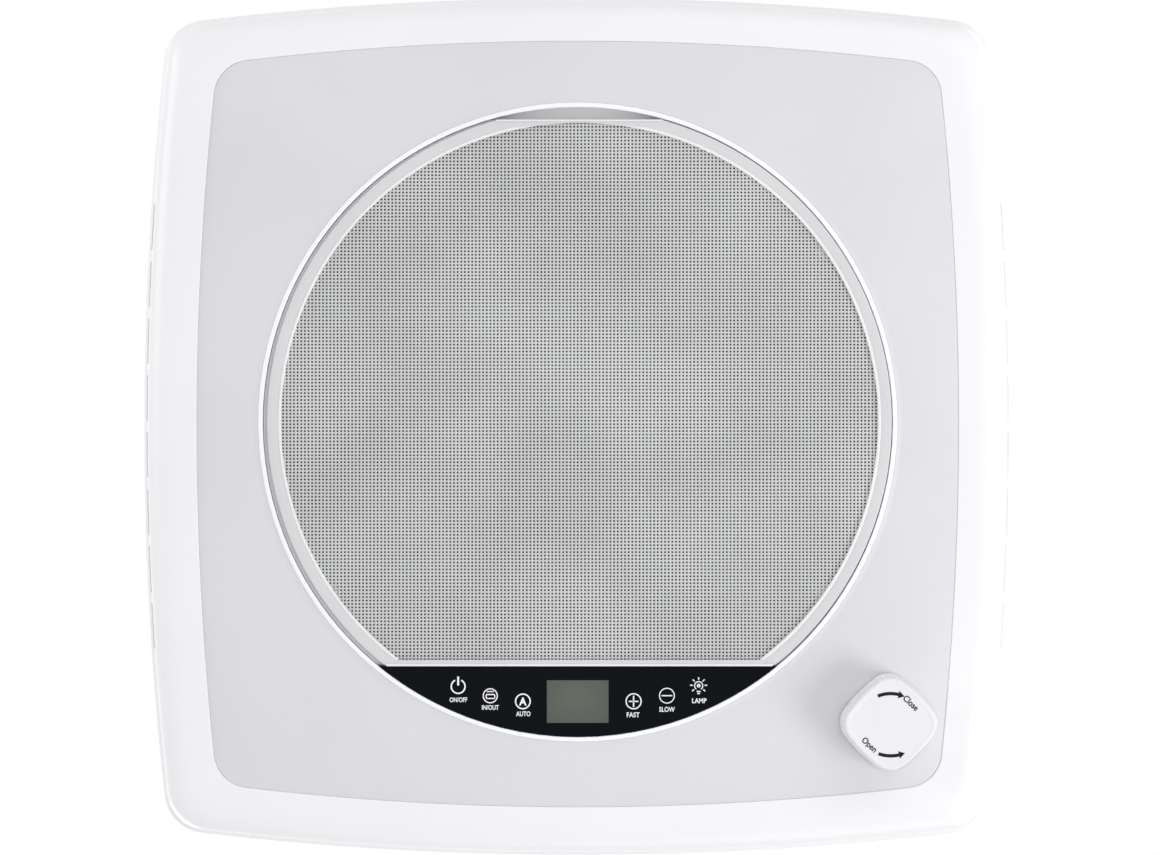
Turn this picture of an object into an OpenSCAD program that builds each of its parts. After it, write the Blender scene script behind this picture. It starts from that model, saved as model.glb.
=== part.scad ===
// Roof hatch fan: a square roof vent with a hinged lid, a fan and a ceiling trim with screen and controls.
// +Z points to the sky and z = 0 is the roof's outer surface, with the origin on the fan axis.
// -Y is the side of the control strip, +Y the side of the lid hinge, and the crank is at -X, -Y.

/* [Roof] */
// Side of the square hole in the roof
hole_w = 356; // [352:1:360]
// Thickness of the roof between flange and ceiling trim
roof_t = 50; // [46:1:58]

/* [Base frame] */
// Side of the square roof flange
flange_w = 412; // [406:1:422]
// Thickness of the roof flange
flange_t = 3; // [2:0.5:4]
// Corner radius of the roof flange
flange_r = 36; // [30:1:42]
// Thickness of the gasket under the flange
gasket_t = 2; // [1:0.5:3]
// Wall of the neck and of the coaming
frame_wall = 3; // [2.5:0.5:4]
// Gap between neck and roof hole on each side
neck_gap = 3; // [2:0.5:4]
// Outer side of the square coaming
coaming_w = 366; // [364:1:370]
// Height of the coaming above the flange
coaming_h = 45; // [42:1:46]
// Corner radius of the neck and of the coaming
neck_r = 12; // [8:1:16]
// Width of the lip that carries the fan deck
lip_w = 4; // [3:0.5:5]
// Thickness of the lip
lip_t = 3; // [2:0.5:4]
// Radius of the roof screws
roof_screw_r = 2; // [1.5:0.1:2.5]

/* [Fan] */
// Radius of the fan at the blade tips
fan_r = 148; // [144:0.5:149]
// Gap between blade tips and shroud
tip_gap = 3.5; // [2.5:0.5:3.5]
// Wall of the round shroud
shroud_wall = 2.5; // [2:0.5:2.5]
// Height of the round shroud under the deck
shroud_h = 39; // [37:1:42]
// Thickness of the deck plate
deck_t = 3; // [2:0.5:4]
// Radius of the screws in the deck, the hinges and the trim
deck_screw_r = 1.8; // [1.5:0.1:2]
// Number of blades
blade_n = 6; // [4:1:8]
// Thickness of a blade
blade_t = 3; // [2:0.5:4]
// Half width of a blade at its tip
blade_half = 25; // [18:1:27]
// Pitch angle of the blades
blade_pitch = 26; // [18:1:27]
// Radius of the hub
hub_r = 42; // [34:1:50]
// Height of the hub
hub_h = 28; // [26:1:30]
// Gap between the deck's top and the top of the hub
hub_drop = 10; // [9:1:11]

/* [Motor] */
// Outer radius of the motor can
motor_r = 41; // [38:1:50]
// Height of the motor can
motor_h = 36; // [34:1:44]
// Wall of the motor can
can_wall = 1.5; // [1:0.5:2]
// Radius of the motor shaft
shaft_r = 4; // [3:0.5:5]
// Thickness of the motor bracket
bracket_t = 3; // [2:0.5:4]
// Width of the arms of the motor bracket
bracket_arm_w = 16; // [12:1:24]
// Radius at which the bracket is screwed to the deck
bracket_screw_at = 163; // [161:0.5:170]
// Radius of the screws that hold the motor
motor_screw_r = 1.5; // [1.2:0.1:1.6]

/* [Lid] */
// Half width of the lid across the hinge axis direction
lid_a = 203; // [201:1:208]
// Half length of the lid from hinge side to front
lid_b = 203; // [202:1:208]
// Shift of the lid's middle towards the hinge
lid_shift = 3; // [2:0.5:4]
// Wall of the lid
lid_wall = 3; // [2:0.5:3.5]
// Height of the lid's rim, from its lower edge to its flat border
lid_rim_h = 29; // [28:1:34]
// Rise of the lid's middle above its flat border
lid_dome = 12; // [6:1:20]
// Width of the lid's flat border
lid_border = 58; // [50:1:64]
// Radius of the bow of the lid's sides
lid_bow = 2600; // [2000:50:4000]
// Corner radius of the lid
lid_r = 22; // [16:1:30]
// Gap between the lid's rib and the seal
seal_gap = 0.3; // [0.2:0.1:0.5]
// Height of the seal above the coaming
seal_h = 3; // [2:0.5:4]
// Largest opening angle of the lid
open_angle = 50; // [30:1:50]

/* [Hinge] */
// Distance of the hinge axis behind the coaming
hinge_back = 9; // [8.5:0.5:10]
// Height of the hinge axis above the coaming
hinge_up = 10; // [9.5:0.5:12]
// Distance of the hinges from the middle
hinge_at = 110; // [80:1:140]
// Radius of the hinge pins
pin_r = 3; // [2.5:0.1:3.5]
// Width of the lid's knuckle
knuckle_w = 14; // [10:1:18]
// Thickness of the ears of a hinge bracket
ear_t = 4; // [3:0.5:6]

/* [Lift gear] */
// Length of the lift arm between its two axes, which is also the distance from the hinge to its lower axis
arm_len = 165; // [160:1:168]
// Thickness of the lift arm
arm_t = 5; // [4:0.5:5.5]
// Radius of the arm's shaft
arm_shaft_r = 3.5; // [3:0.1:4]
// Radius of the pin in the slide shoe
shoe_pin_r = 2.5; // [2:0.1:3]
// Module of all the gears
gear_m = 1.25; // [1.2:0.05:1.3]
// Teeth of the worm wheel
wheel_teeth = 24; // [24:4:24]
// Face width of the worm wheel
wheel_w = 5; // [3.5:0.5:5]
// Pitch radius of the worm
worm_r = 5.5; // [5.2:0.1:5.8]
// Number of turns of the worm's thread
worm_turns = 5; // [4:1:6]
// Teeth of each bevel gear
bevel_teeth = 12; // [12:1:12]
// Face height of the bevel gears
bevel_h = 3; // [2.5:0.1:3.2]
// Length of the hub under the crank's bevel gear
bevel_hub = 2.85; // [2:0.05:4]
// Radius of the screws that hold the gearbox, the bracket and the lid's track
gear_screw_r = 1.3; // [1:0.1:1.5]
// Radius of the crank shaft
crank_r = 3; // [2.5:0.1:3.2]
// Radius of the drive rod
rod_r = 2.5; // [2:0.1:2.8]

/* [Ceiling trim] */
// Width of the trim
trim_w = 436; // [430:0.5:440]
// Length of the trim
trim_l = 431; // [426:0.5:436]
// Shift of the trim's middle towards the control side
trim_shift = 2.25; // [1.5:0.25:3]
// Depth of the trim below the ceiling
trim_depth = 20; // [18:1:24]
// Radius of the bow of the trim's left and right sides
side_bow = 1690; // [1500:10:2400]
// Radius of the bow of the trim's other two sides
end_bow = 1600; // [1500:10:2400]
// Corner radius of the trim
trim_r = 21; // [16:1:28]
// Wall of the trim
trim_wall = 2.5; // [2:0.1:3]
// Height of the nearly upright band at the trim's outer edge
band_h = 9; // [8:0.5:10]
// Slope of that band over its height
band_draft = 1.6; // [1:0.1:2]
// Width of the rounded part of the trim
round_w = 16.5; // [12:0.5:16.5]

/* [Face panel] */
// Width of the grey panel
panel_w = 381; // [376:0.2:382]
// Length of the grey panel
panel_l = 383; // [378:0.5:383.5]
// Shift of the panel's middle towards the control side
panel_shift = 1; // [0.5:0.25:1.5]
// Radius of the bow of the panel's left and right sides
panel_bow = 1600; // [1400:10:2400]
// Radius of the bow of the panel's other two sides
panel_end_bow = 1420; // [1400:10:2400]
// Corner radius of the panel
panel_r = 18.5; // [14:0.5:22]
// Thickness of the panel
panel_t = 2; // [1.5:0.1:2.5]
// Depth of the panel's face in the trim
panel_recess = 1; // [0.6:0.1:1.4]
// Gap round the panel
panel_gap = 0.3; // [0.2:0.1:0.5]

/* [Ring and collar] */
// Inner radius of the ring round the screen
ring_r = 157.6; // [156.9:0.1:158]
// Width of the ring
ring_w = 2.3; // [2:0.1:4]
// Height of the ring below the panel
ring_h = 3; // [2:0.5:4]
// Wall of the collar behind the ring
collar_wall = 2.5; // [2:0.1:2.5]
// Overlap of the collar and the fan shroud
collar_overlap = 8; // [4:1:12]
// Thickness of the ledge behind the screen
ledge_t = 2; // [2:0.1:3]
// Radius at which the trim is screwed to the shroud
trim_screw_at = 152; // [151.5:0.1:152]
// Angle of the trim screws from the X axis
trim_screw_angle = 35; // [25:1:40]

/* [Lamps] */
// Number of lamp slots on each side
slot_n = 8; // [4:1:10]
// Distance between the lamp slots
slot_pitch = 28.6; // [26:0.1:30]
// Length of a lamp slot
slot_len = 23; // [16:0.5:24]
// Height of a lamp slot
slot_h = 5; // [4:0.5:5]

/* [Screen] */
// Outer radius of the screen frame
screen_r = 155.25; // [154.5:0.05:155.5]
// Radius of the screen's mesh opening
mesh_r = 149.25; // [147:0.05:149.5]
// Distance of the frame's straight upper edge from the fan axis
screen_top = 151.25; // [151:0.05:153]
// Distance of the frame's straight lower edge from the fan axis
screen_bottom = 121.7; // [116:0.1:121.8]
// Width of the frame between that edge and the mesh
chord_w = 2.7; // [2:0.1:4]
// Sideways play of the screen in the ring, as it hangs
screen_play = 1; // [0:0.1:1]
// Thickness of the frame's flange
screen_t = 2.5; // [2:0.1:3]
// Distance between the bars of the net
net_pitch = 16.6; // [16.4:0.2:20]
// Width of a bar of the net
net_bar = 0.8; // [0.6:0.1:1.2]
// Thickness of the net
net_t = 0.6; // [0.4:0.1:0.8]

/* [Controls] */
// Distance of the glass's straight edge from the fan axis
glass_edge = 122; // [122:0.1:126]
// Thickness of the control glass
glass_t = 2; // [1.5:0.1:2.5]
// Width of the display
lcd_w = 31; // [24:0.5:36]
// Height of the display
lcd_h = 21.5; // [16:0.5:21.5]
// Distance of the display's middle from the fan axis
lcd_at = 139.75; // [138:0.25:140.5]
// Depth of the control housing behind its flange
housing_depth = 9; // [7:0.5:10]
// Thickness of the circuit board
board_t = 1.6; // [1:0.2:2]

/* [Knob] */
// Distance of the crank from the fan axis along X
crank_x = 155.5; // [153:0.5:156]
// Distance of the crank from the fan axis along Y
crank_y = 150; // [147:0.5:151]
// Half width of the knob between its flat sides
knob_a = 21; // [18:0.5:23]
// Radius of the bow of the knob's sides
knob_bow = 80; // [60:5:160]
// Corner radius of the knob
knob_r = 11; // [8:0.5:14]
// Height of the knob
knob_h = 25; // [18:1:32]
// Gap between knob and panel
knob_gap = 1.2; // [0.8:0.1:2]

/* [Hidden] */

$fn = 96;
fit = 0.08;      // running clearance between a shaft and its bore
gap = 0.5;       // clearance between neighbours that don't touch
joint = 0.5;     // depth to which united shapes run into each other
far = 600;       // longer than anything here
big_fn = 720;    // facets of the largest arcs in a preview

white = [0.96, 0.96, 0.97];
grey = [0.87, 0.87, 0.88];
dark = [0.16, 0.16, 0.17];
smoke = [0.24, 0.24, 0.25];
steel = [0.72, 0.73, 0.75];
nylon = [0.90, 0.89, 0.85];

// levels from the roof upwards
neck_w = hole_w - 2 * neck_gap;
neck_in = neck_w - 2 * frame_wall;
neck_z = 4 - roof_t;                         // lower edge of the neck
outer_r = neck_r + frame_wall;
flange_z = gasket_t + flange_t;
coaming_in = coaming_w - 2 * frame_wall;
coaming_z = flange_z + coaming_h;
seal_z = coaming_z + seal_h;
hinge_y = coaming_w / 2 + hinge_back;
hinge_z = coaming_z + hinge_up;

// fan levels from the deck's top, which is level with the roof
deck_w = neck_in - 2 * gap;
shroud_r = fan_r + tip_gap;
shroud_out = shroud_r + shroud_wall;
shroud_z = -deck_t - shroud_h;
hub_z = -hub_drop - hub_h;
motor_z = bracket_t;
bell_z = motor_z + motor_h;
bearing_r = shaft_r + 4;
bearing_h = 5;
magnet_t = 2.5;
lug_at = deck_w / 2 - 5.5;
lug_off = 45;
lug_l = 26;
screw_head = 2;

// ceiling side levels
ceiling_z = -roof_t;
face_z = ceiling_z - trim_depth;
panel_z = face_z + panel_recess;
floor_z = panel_z + panel_t;
floor_t = 2;
ring_z = panel_z - ring_h;
bead_t = 0.6;
screen_z = ring_z + 1.2;
screen_back_t = 1.5;
screen_back_z = screen_z + screen_t + net_t + screen_back_t;
ledge_z = screen_back_z + gap;
ledge_r = mesh_r + 1.25;
collar_z = shroud_z + collar_overlap;
boss_r = deck_screw_r + 2.7;                 // boss for a trim screw under the shroud
trim_screw_l = ledge_t + 11;

// lift gear: arm_len from the hinge to the arm's axis makes the arm turn twice as fast as the lid
wheel_r = gear_m * wheel_teeth / 2;
bevel_r = gear_m * bevel_teeth / 2;
rod_z = gap + bevel_hub + bevel_r;
arm_z = rod_z + worm_r + wheel_r;
arm_slope = asin((hinge_z - arm_z) / arm_len);
arm_y = hinge_y - arm_len * cos(arm_slope);
shoe_y = hinge_y - 2 * arm_len * cos(arm_slope);
shoe_back = 2 * arm_len * cos(arm_slope + open_angle);
add = 0.72 * gear_m;     // height of a tooth above the pitch circle
ded = 1.04 * gear_m;     // depth of a gap below the pitch circle
worm_pitch = PI * gear_m;
wheel_hub_r = arm_shaft_r + 2.5;
axle_boss_r = arm_shaft_r + 6.5;
foot_t = 3;              // thickness of the feet that are screwed to the deck
foot_w = 10;
foot_l = 13;
arm_x = crank_x + wheel_w / 2 + 4;          // near face of the lift arm, from the middle
arm_tip_r = shoe_pin_r + 3.5;
arm_root_r = arm_shaft_r + 5.5;
shoe_half = shoe_pin_r + 2;
shoe_w = 8;
shoe_l = 2 * shoe_half + 6;
track_wall = 2;
track_gap = 0.3;
shoe_x = arm_x - 2.4;                        // face of the shoe that is next to the arm
track_x = shoe_x - shoe_w - 0.6;             // inner face of the track's web
lid_room = 12;                               // from the hinge axis up to the lid's underside
lid_in_z = hinge_z + lid_room;
lid_z = lid_in_z + lid_wall - lid_rim_h;
rib_w = 2.5;
rib_z = seal_z + seal_gap;
rib_line = (coaming_w + coaming_in) / 2;
bracket_wall = 3;
bracket_half = wheel_r + add + 8;
bracket_in = crank_x - worm_r - add - 1 - bracket_wall;      // faces of the bracket, from the middle
bracket_out = arm_x + arm_t + 2 + bracket_wall;
box_wall = 2.5;
box_half = bevel_r + add + 2.1 + box_wall;

// half outlines and corner radii of the bowed shapes
trim_a = trim_w / 2;
trim_b = trim_l / 2;
recess_a = panel_w / 2 + panel_gap;
recess_b = panel_l / 2 + panel_gap;
lamp_z = ceiling_z - band_h / 2;
lens_in = band_draft + trim_wall + 0.6;
lens_t = 2;
lamp_half = (slot_n - 1) * slot_pitch / 2 + slot_len / 2 + 3;
lamp_rib = 2.5;
board_in = lens_in + lens_t + bow(lamp_half, side_bow) + 2;
lamp_rib_in = board_in + 2.6;
lamp_rib_out = band_draft + bow(lamp_half, side_bow) + trim_wall / 2;

// how far an arc of radius r falls back at a distance y from its middle
function bow(y, r) = r - sqrt(r * r - y * y);

// the crossing of two circles that lies in the first quadrant
function meet(p, r, q, s) =
    let (d = norm(q - p), u = (q - p) / d, k = (r * r - s * s + d * d) / (2 * d))
    p + k * u + sqrt(r * r - k * k) * [-u.y, u.x];

// a quarter of a rectangle with bowed sides and round corners, from the X axis to the Y axis
function quarter(a, b, ra, rb, rc, n, m) =
    let (
        ca = [a - ra, 0],
        cb = [0, b - rb],
        f = meet(ca, ra - rc, cb, rb - rc),
        t1 = atan2(f.y, f.x - ca.x),
        t2 = atan2(f.y - cb.y, f.x)
    )
    concat(
        [for (i = [0:n - 1]) ca + ra * [cos(t1 * i / n), sin(t1 * i / n)]],
        [for (i = [0:m]) let (t = t1 + (t2 - t1) * i / m) f + rc * [cos(t), sin(t)]],
        [for (i = [1:n]) let (t = t2 + (90 - t2) * i / n) cb + rb * [cos(t), sin(t)]]
    );

function bowed(a, b, ra, rb, rc, n = 5, m = 5) =
    let (q = quarter(a, b, ra, rb, rc, n, m), e = len(q) - 1)
    concat(
        q,
        [for (i = [e - 1:-1:0]) [-q[i].x, q[i].y]],
        [for (i = [1:e]) [-q[i].x, -q[i].y]],
        [for (i = [e - 1:-1:1]) [q[i].x, -q[i].y]]
    );

// an outline lifted to the height z and moved by dy
function ring_at(points, dy, z) = [for (p = points) [p.x, p.y + dy, z]];

// a skin over rings of points that each run counter-clockwise, seen against the direction of travel
module loft(rings, closed = false) {
    n = len(rings);
    m = len(rings[0]);
    middle = [
        for (r = [rings[0], rings[n - 1]])
            [for (k = [0:2]) let (v = [for (p = r) p[k]]) v * [for (p = r) 1] / m]
    ];
    points = [for (r = rings) each r, each closed ? [] : middle];
    sides = [
        for (i = [0:closed ? n - 1 : n - 2])
            for (j = [0:m - 1])
                let (u = (i + 1) % n, v = (j + 1) % m)
                each [[i * m + j, u * m + j, u * m + v], [i * m + j, u * m + v, i * m + v]]
    ];
    caps = [
        for (j = [0:m - 1])
            let (v = (j + 1) % m)
            each [[j, v, n * m], [(n - 1) * m + v, (n - 1) * m + j, n * m + 1]]
    ];
    polyhedron(points, concat(sides, closed ? [] : caps), convexity = 10);
}

module round_square(w, r) {
    square([w - 2 * r, w], center = true);
    square([w, w - 2 * r], center = true);
    for (x = [-1, 1], y = [-1, 1])
        translate([x, y] * (w / 2 - r)) circle(r);
}

module square_ring(outer, inner, r_out, r_in, z, h) {
    translate([0, 0, z]) linear_extrude(h) difference() {
        round_square(outer, r_out);
        round_square(inner, r_in);
    }
}

module tube(r_out, r_in, z, h) {
    translate([0, 0, z]) difference() {
        cylinder(r = r_out, h = h);
        translate([0, 0, -1]) cylinder(r = r_in, h = h + 2);
    }
}

// the part of a disc beyond a straight line at -y
module segment(r, y) {
    difference() {
        circle(r);
        translate([-far / 2, -y]) square(far);
    }
}

// a rod or a bore along X, Y or Z between two places
module along_x(r, x0, x1) {
    translate([x0, 0, 0]) rotate([0, 90, 0]) cylinder(r = r, h = x1 - x0);
}

module along_y(r, y0, y1) {
    translate([0, y1, 0]) rotate([90, 0, 0]) cylinder(r = r, h = y1 - y0);
}

// a pan head screw with its head on z = 0, head up
module screw(r, length, head = screw_head) {
    cylinder(r = 1.9 * r, h = head, $fn = 32);
    translate([0, 0, -length]) cylinder(r = r, h = length + joint, $fn = 32);
}

// a toothed wheel's outline with straight flanks
module gear_outline(r, teeth, tip_w, pitch_w, root_w, turn = 0) {
    outer = r + add;
    inner = r - ded;
    circle(inner);
    for (i = [0:teeth - 1]) rotate(turn + i * 360 / teeth) polygon([
        [inner - joint, -root_w / 2],
        [inner, -root_w / 2],
        [r, -pitch_w / 2],
        [outer, -tip_w / 2],
        [outer, tip_w / 2],
        [r, pitch_w / 2],
        [inner, root_w / 2],
        [inner - joint, root_w / 2]
    ]);
}

// a straight bevel gear with its large end on z = 0 and its apex at z = bevel_r
module bevel_gear(bore, hub, turn) {
    difference() {
        union() {
            linear_extrude(bevel_h, scale = 1 - bevel_h / bevel_r)
                gear_outline(bevel_r, bevel_teeth, 0.6 * gear_m, 1.15 * gear_m, 1.7 * gear_m, turn);
            translate([0, 0, -hub]) cylinder(r = 0.8 * bevel_r, h = hub + joint);
        }
        translate([0, 0, -hub - 1]) cylinder(r = bore, h = far);
    }
}

// distance of a round square's corner from its middle
function corner_reach(w, r) = (w / 2 - r) * sqrt(2) + r;

// roof screws halfway between the coaming and the flange's edge, at the corners and twice on each side
screw_side = (flange_w + coaming_w) / 4;
screw_corner = (corner_reach(flange_w, flange_r) + corner_reach(coaming_w, outer_r)) / sqrt(8);
roof_screw_places = [
    for (x = [-1, 1], y = [-1, 1]) [x, y] * screw_corner,
    for (s = [-1, 1], t = [-1 / 3, 1 / 3]) each [[s, t] * screw_side, [t, s] * screw_side]
];
lug_places = [
    for (k = [0:3])
        let (c = cos(90 * k), s = sin(90 * k))
        [c * lug_at - s * lug_off, s * lug_at + c * lug_off]
];
trim_screw_places = [
    for (x = [-1, 1], y = [-1, 1])
        trim_screw_at * [x * cos(trim_screw_angle), y * sin(trim_screw_angle)]
];
slot_places = [for (i = [0:slot_n - 1]) (i - (slot_n - 1) / 2) * slot_pitch];

// roof flange, neck and coaming in one moulding, with a lip and lugs under the fan deck
module base_frame() {
    color(white) difference() {
        union() {
            square_ring(flange_w, neck_in, flange_r, neck_r, gasket_t, flange_t);
            square_ring(neck_w, neck_in, outer_r, neck_r, neck_z, gasket_t + joint - neck_z);
            square_ring(coaming_w, coaming_in, outer_r, neck_r, flange_z - joint, coaming_h + joint);
            square_ring(neck_in + joint, neck_in - 2 * lip_w, neck_r, neck_r - lip_w / 2, -deck_t - lip_t, lip_t);
            for (k = [0:3]) rotate(90 * k)
                translate([shroud_out + 3, lug_off - lug_l / 2, -deck_t - lip_t])
                    cube([neck_in / 2 - shroud_out - 3 + joint, lug_l, lip_t]);
        }
        for (p = roof_screw_places) translate([p.x, p.y, 0])
            cylinder(r = roof_screw_r + 0.2, h = flange_z + 1);
        for (p = lug_places) translate([p.x, p.y, -deck_t - lip_t - 1])
            cylinder(r = deck_screw_r, h = lip_t + 2);
        for (x = [-1, 1], z = [0, 1]) translate([x * hinge_at, 0, hinge_screw_z(z)])
            along_y(deck_screw_r, coaming_in / 2 - 1, coaming_w / 2 + 1);
    }
}

module roof_gasket() {
    color(dark) difference() {
        square_ring(flange_w - 4, neck_w + 2, flange_r - 2, outer_r + 1, 0, gasket_t);
        for (p = roof_screw_places) translate([p.x, p.y, -1])
            cylinder(r = roof_screw_r + 0.2, h = gasket_t + 2);
    }
}

module coaming_seal() {
    color(dark) {
        square_ring(coaming_w + 2, coaming_in - 2, outer_r + 1, neck_r - 1, coaming_z, seal_h);
        square_ring(coaming_w + 2, coaming_w, outer_r + 1, outer_r, coaming_z - 6, 6);
        square_ring(coaming_in, coaming_in - 2, neck_r, neck_r - 1, coaming_z - 6, 6);
    }
}

hinge_plate_t = 3;
hinge_plate_h = 27;
hinge_plate_z = flange_z + (coaming_h - hinge_plate_h) / 2 + 2;
function hinge_screw_z(k) = hinge_plate_z + hinge_plate_h / 2 + (k - 0.5) * 12 - 1.5;
ear_r = pin_r + 3;
ear_x = knuckle_w / 2 + gap;

// two ears on a plate screwed to the back of the coaming
module hinge_brackets() {
    color(white) for (x = [-hinge_at, hinge_at]) translate([x, 0, 0]) difference() {
        union() {
            translate([-ear_x - ear_t, coaming_w / 2, hinge_plate_z])
                cube([2 * (ear_x + ear_t), hinge_plate_t, hinge_plate_h]);
            for (s = [-ear_x - ear_t, ear_x]) translate([s, 0, 0]) {
                translate([0, hinge_y, hinge_z]) along_x(ear_r, 0, ear_t);
                rotate([90, 0, 90]) linear_extrude(ear_t) polygon([
                    [coaming_w / 2, hinge_plate_z],
                    [coaming_w / 2 + hinge_plate_t, hinge_plate_z],
                    [hinge_y + ear_r, hinge_z],
                    [hinge_y - ear_r, hinge_z],
                    [coaming_w / 2 + hinge_plate_t / 2, hinge_plate_z + hinge_plate_h]
                ]);
            }
        }
        translate([0, hinge_y, hinge_z]) along_x(pin_r, -far, far);
        for (z = [0, 1]) translate([0, 0, hinge_screw_z(z)])
            along_y(deck_screw_r + 0.4, coaming_w / 2 - 1, hinge_y + far);
    }
}

module hinge_screws() {
    color(steel) for (x = [-hinge_at, hinge_at], z = [0, 1])
        translate([x, coaming_w / 2 + hinge_plate_t, hinge_screw_z(z)]) rotate([-90, 0, 0])
            screw(deck_screw_r, hinge_plate_t + frame_wall + 3);
}

module hinge_pins() {
    color(steel) for (x = [-hinge_at, hinge_at]) translate([x, hinge_y, hinge_z]) {
        along_x(pin_r, -ear_x - ear_t - 1, ear_x + ear_t);
        along_x(pin_r + 1.5, ear_x + ear_t, ear_x + ear_t + 1.5);
    }
}

// round duct round the blades, hung on a square deck
module fan_shroud() {
    color(dark) difference() {
        union() {
            translate([0, 0, -deck_t]) linear_extrude(deck_t) round_square(deck_w, neck_r - gap);
            translate([0, 0, shroud_z]) cylinder(r = shroud_out, h = shroud_h + joint);
            for (p = trim_screw_places) translate([p.x, p.y, ledge_z + ledge_t])
                cylinder(r = boss_r, h = shroud_z + 2 - ledge_z - ledge_t);
            translate([-crank_x, -crank_y, -deck_t - 8]) cylinder(r = 7, h = 8 + joint);
        }
        translate([0, 0, shroud_z + 2]) cylinder(r = shroud_r, h = far);
        difference() {
            translate([0, 0, shroud_z - 1]) cylinder(r = shroud_r, h = 4);
            for (p = trim_screw_places) translate([p.x, p.y, shroud_z - 2]) cylinder(r = boss_r, h = 6);
        }
        for (p = trim_screw_places) translate([p.x, p.y, ledge_z])
            cylinder(r = deck_screw_r, h = trim_screw_l + 1);
        for (p = lug_places) translate([p.x, p.y, -deck_t - 1])
            cylinder(r = deck_screw_r + 0.4, h = deck_t + 2);
        for (k = [0:3]) rotate(45 + 90 * k)
            translate([bracket_screw_at, 0, -deck_t - 1]) cylinder(r = deck_screw_r, h = deck_t + 2);
        for (p = foot_places) translate([p.x, p.y, -deck_t - 1]) cylinder(r = gear_screw_r, h = deck_t + 2);
        translate([-crank_x, -crank_y, -far / 2]) cylinder(r = crank_r + fit, h = far);
    }
}

module shroud_screws() {
    color(steel) for (p = lug_places) translate([p.x, p.y, 0]) screw(deck_screw_r, deck_t + lip_t + 3);
}

// plate under the motor with four arms to the deck
module motor_bracket() {
    color(dark) linear_extrude(bracket_t) difference() {
        union() {
            circle(motor_r + 5);
            for (k = [0, 1]) rotate(45 + 90 * k)
                square([2 * bracket_screw_at + 16, bracket_arm_w], center = true);
        }
        circle(shaft_r + 4);
        for (k = [0:3]) rotate(45 + 90 * k) translate([bracket_screw_at, 0]) circle(deck_screw_r + 0.2);
        for (k = [0:2]) rotate(120 * k) translate([motor_screw_at, 0]) circle(motor_screw_r + 0.2);
    }
}

module bracket_screws() {
    color(steel) for (k = [0:3]) rotate(45 + 90 * k)
        translate([bracket_screw_at, 0, bracket_t]) screw(deck_screw_r, bracket_t + deck_t + 2);
}

motor_screw_at = motor_r - 16;
seat_r = bearing_r + 2;

// motor can, open at the top, with a seat for the lower bearing
module motor_can() {
    color(dark) difference() {
        union() {
            tube(motor_r, motor_r - can_wall, motor_z, motor_h);
            translate([0, 0, motor_z]) cylinder(r = motor_r - joint, h = 2);
            translate([0, 0, motor_z]) cylinder(r = seat_r, h = 2 + bearing_h);
        }
        translate([0, 0, motor_z + 2]) cylinder(r = bearing_r, h = far);
        translate([0, 0, motor_z - 1]) cylinder(r = shaft_r + 1, h = far);
        for (k = [0:2]) rotate(120 * k) translate([motor_screw_at, 0, motor_z - 1])
            cylinder(r = motor_screw_r, h = 4);
    }
}

magnet_out = motor_r - can_wall;
magnet_z = motor_z + 2 + bearing_h + 2;
magnet_h = motor_h - 2 * bearing_h - 8;

module motor_magnets() {
    color(steel) difference() {
        tube(magnet_out, magnet_out - magnet_t, magnet_z, magnet_h);
        translate([-5, -far / 2, 0]) cube([10, far, far]);
    }
}

// cover of the can, with a seat for the upper bearing
module motor_end_bell() {
    color(dark) {
        translate([0, 0, bell_z]) cylinder(r = motor_r, h = 2.5);
        tube(seat_r, bearing_r, bell_z - bearing_h - 1, bearing_h + 1 + joint);
    }
}

module motor_bearings() {
    color(steel) {
        tube(bearing_r, shaft_r + fit, motor_z + 2, bearing_h);
        tube(bearing_r, shaft_r + fit, bell_z - bearing_h - 1, bearing_h);
    }
}

module motor_screws() {
    color(steel) for (k = [0:2]) rotate(120 * k)
        translate([motor_screw_at, 0, 0]) mirror([0, 0, 1]) screw(motor_screw_r, motor_z + 2);
}

nut_h = 6;
nut_cap = 1.5;
shaft_end = hub_z - nut_h + nut_cap + gap;   // inside the cap nut

module fan_shaft() {
    color(steel) translate([0, 0, shaft_end]) cylinder(r = shaft_r, h = bell_z - 1 - shaft_end);
}

// slotted iron core on the shaft
module armature() {
    core_r = magnet_out - magnet_t - 0.6;
    color(steel) difference() {
        translate([0, 0, magnet_z + 1]) cylinder(r = core_r, h = magnet_h - 2);
        translate([0, 0, magnet_z]) cylinder(r = shaft_r, h = magnet_h);
        for (k = [0:11]) rotate(30 * k) translate([0.78 * core_r, -core_r / 24, magnet_z])
            cube([far, core_r / 12, magnet_h]);
    }
}

// hub cup with flat pitched blades
module impeller() {
    root = hub_r - 2;
    color(dark) difference() {
        union() {
            translate([0, 0, hub_z]) cylinder(r = hub_r, h = hub_h);
            intersection() {
                translate([0, 0, hub_z]) cylinder(r = fan_r, h = hub_h);
                for (k = [0:blade_n - 1]) rotate(360 / blade_n * k)
                    translate([0, 0, hub_z + hub_h / 2]) rotate([blade_pitch, 0, 0])
                        translate([0, 0, -blade_t / 2]) linear_extrude(blade_t) polygon([
                            [root, -0.6 * blade_half],
                            [fan_r + 5, -blade_half],
                            [fan_r + 5, blade_half],
                            [root, 0.6 * blade_half]
                        ]);
            }
        }
        difference() {
            translate([0, 0, hub_z + 3]) cylinder(r = hub_r - 3, h = hub_h);
            translate([0, 0, hub_z]) cylinder(r = shaft_r + 5, h = hub_h - 3);
        }
        translate([0, 0, hub_z - 1]) cylinder(r = shaft_r, h = hub_h + 2);
    }
}

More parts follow.
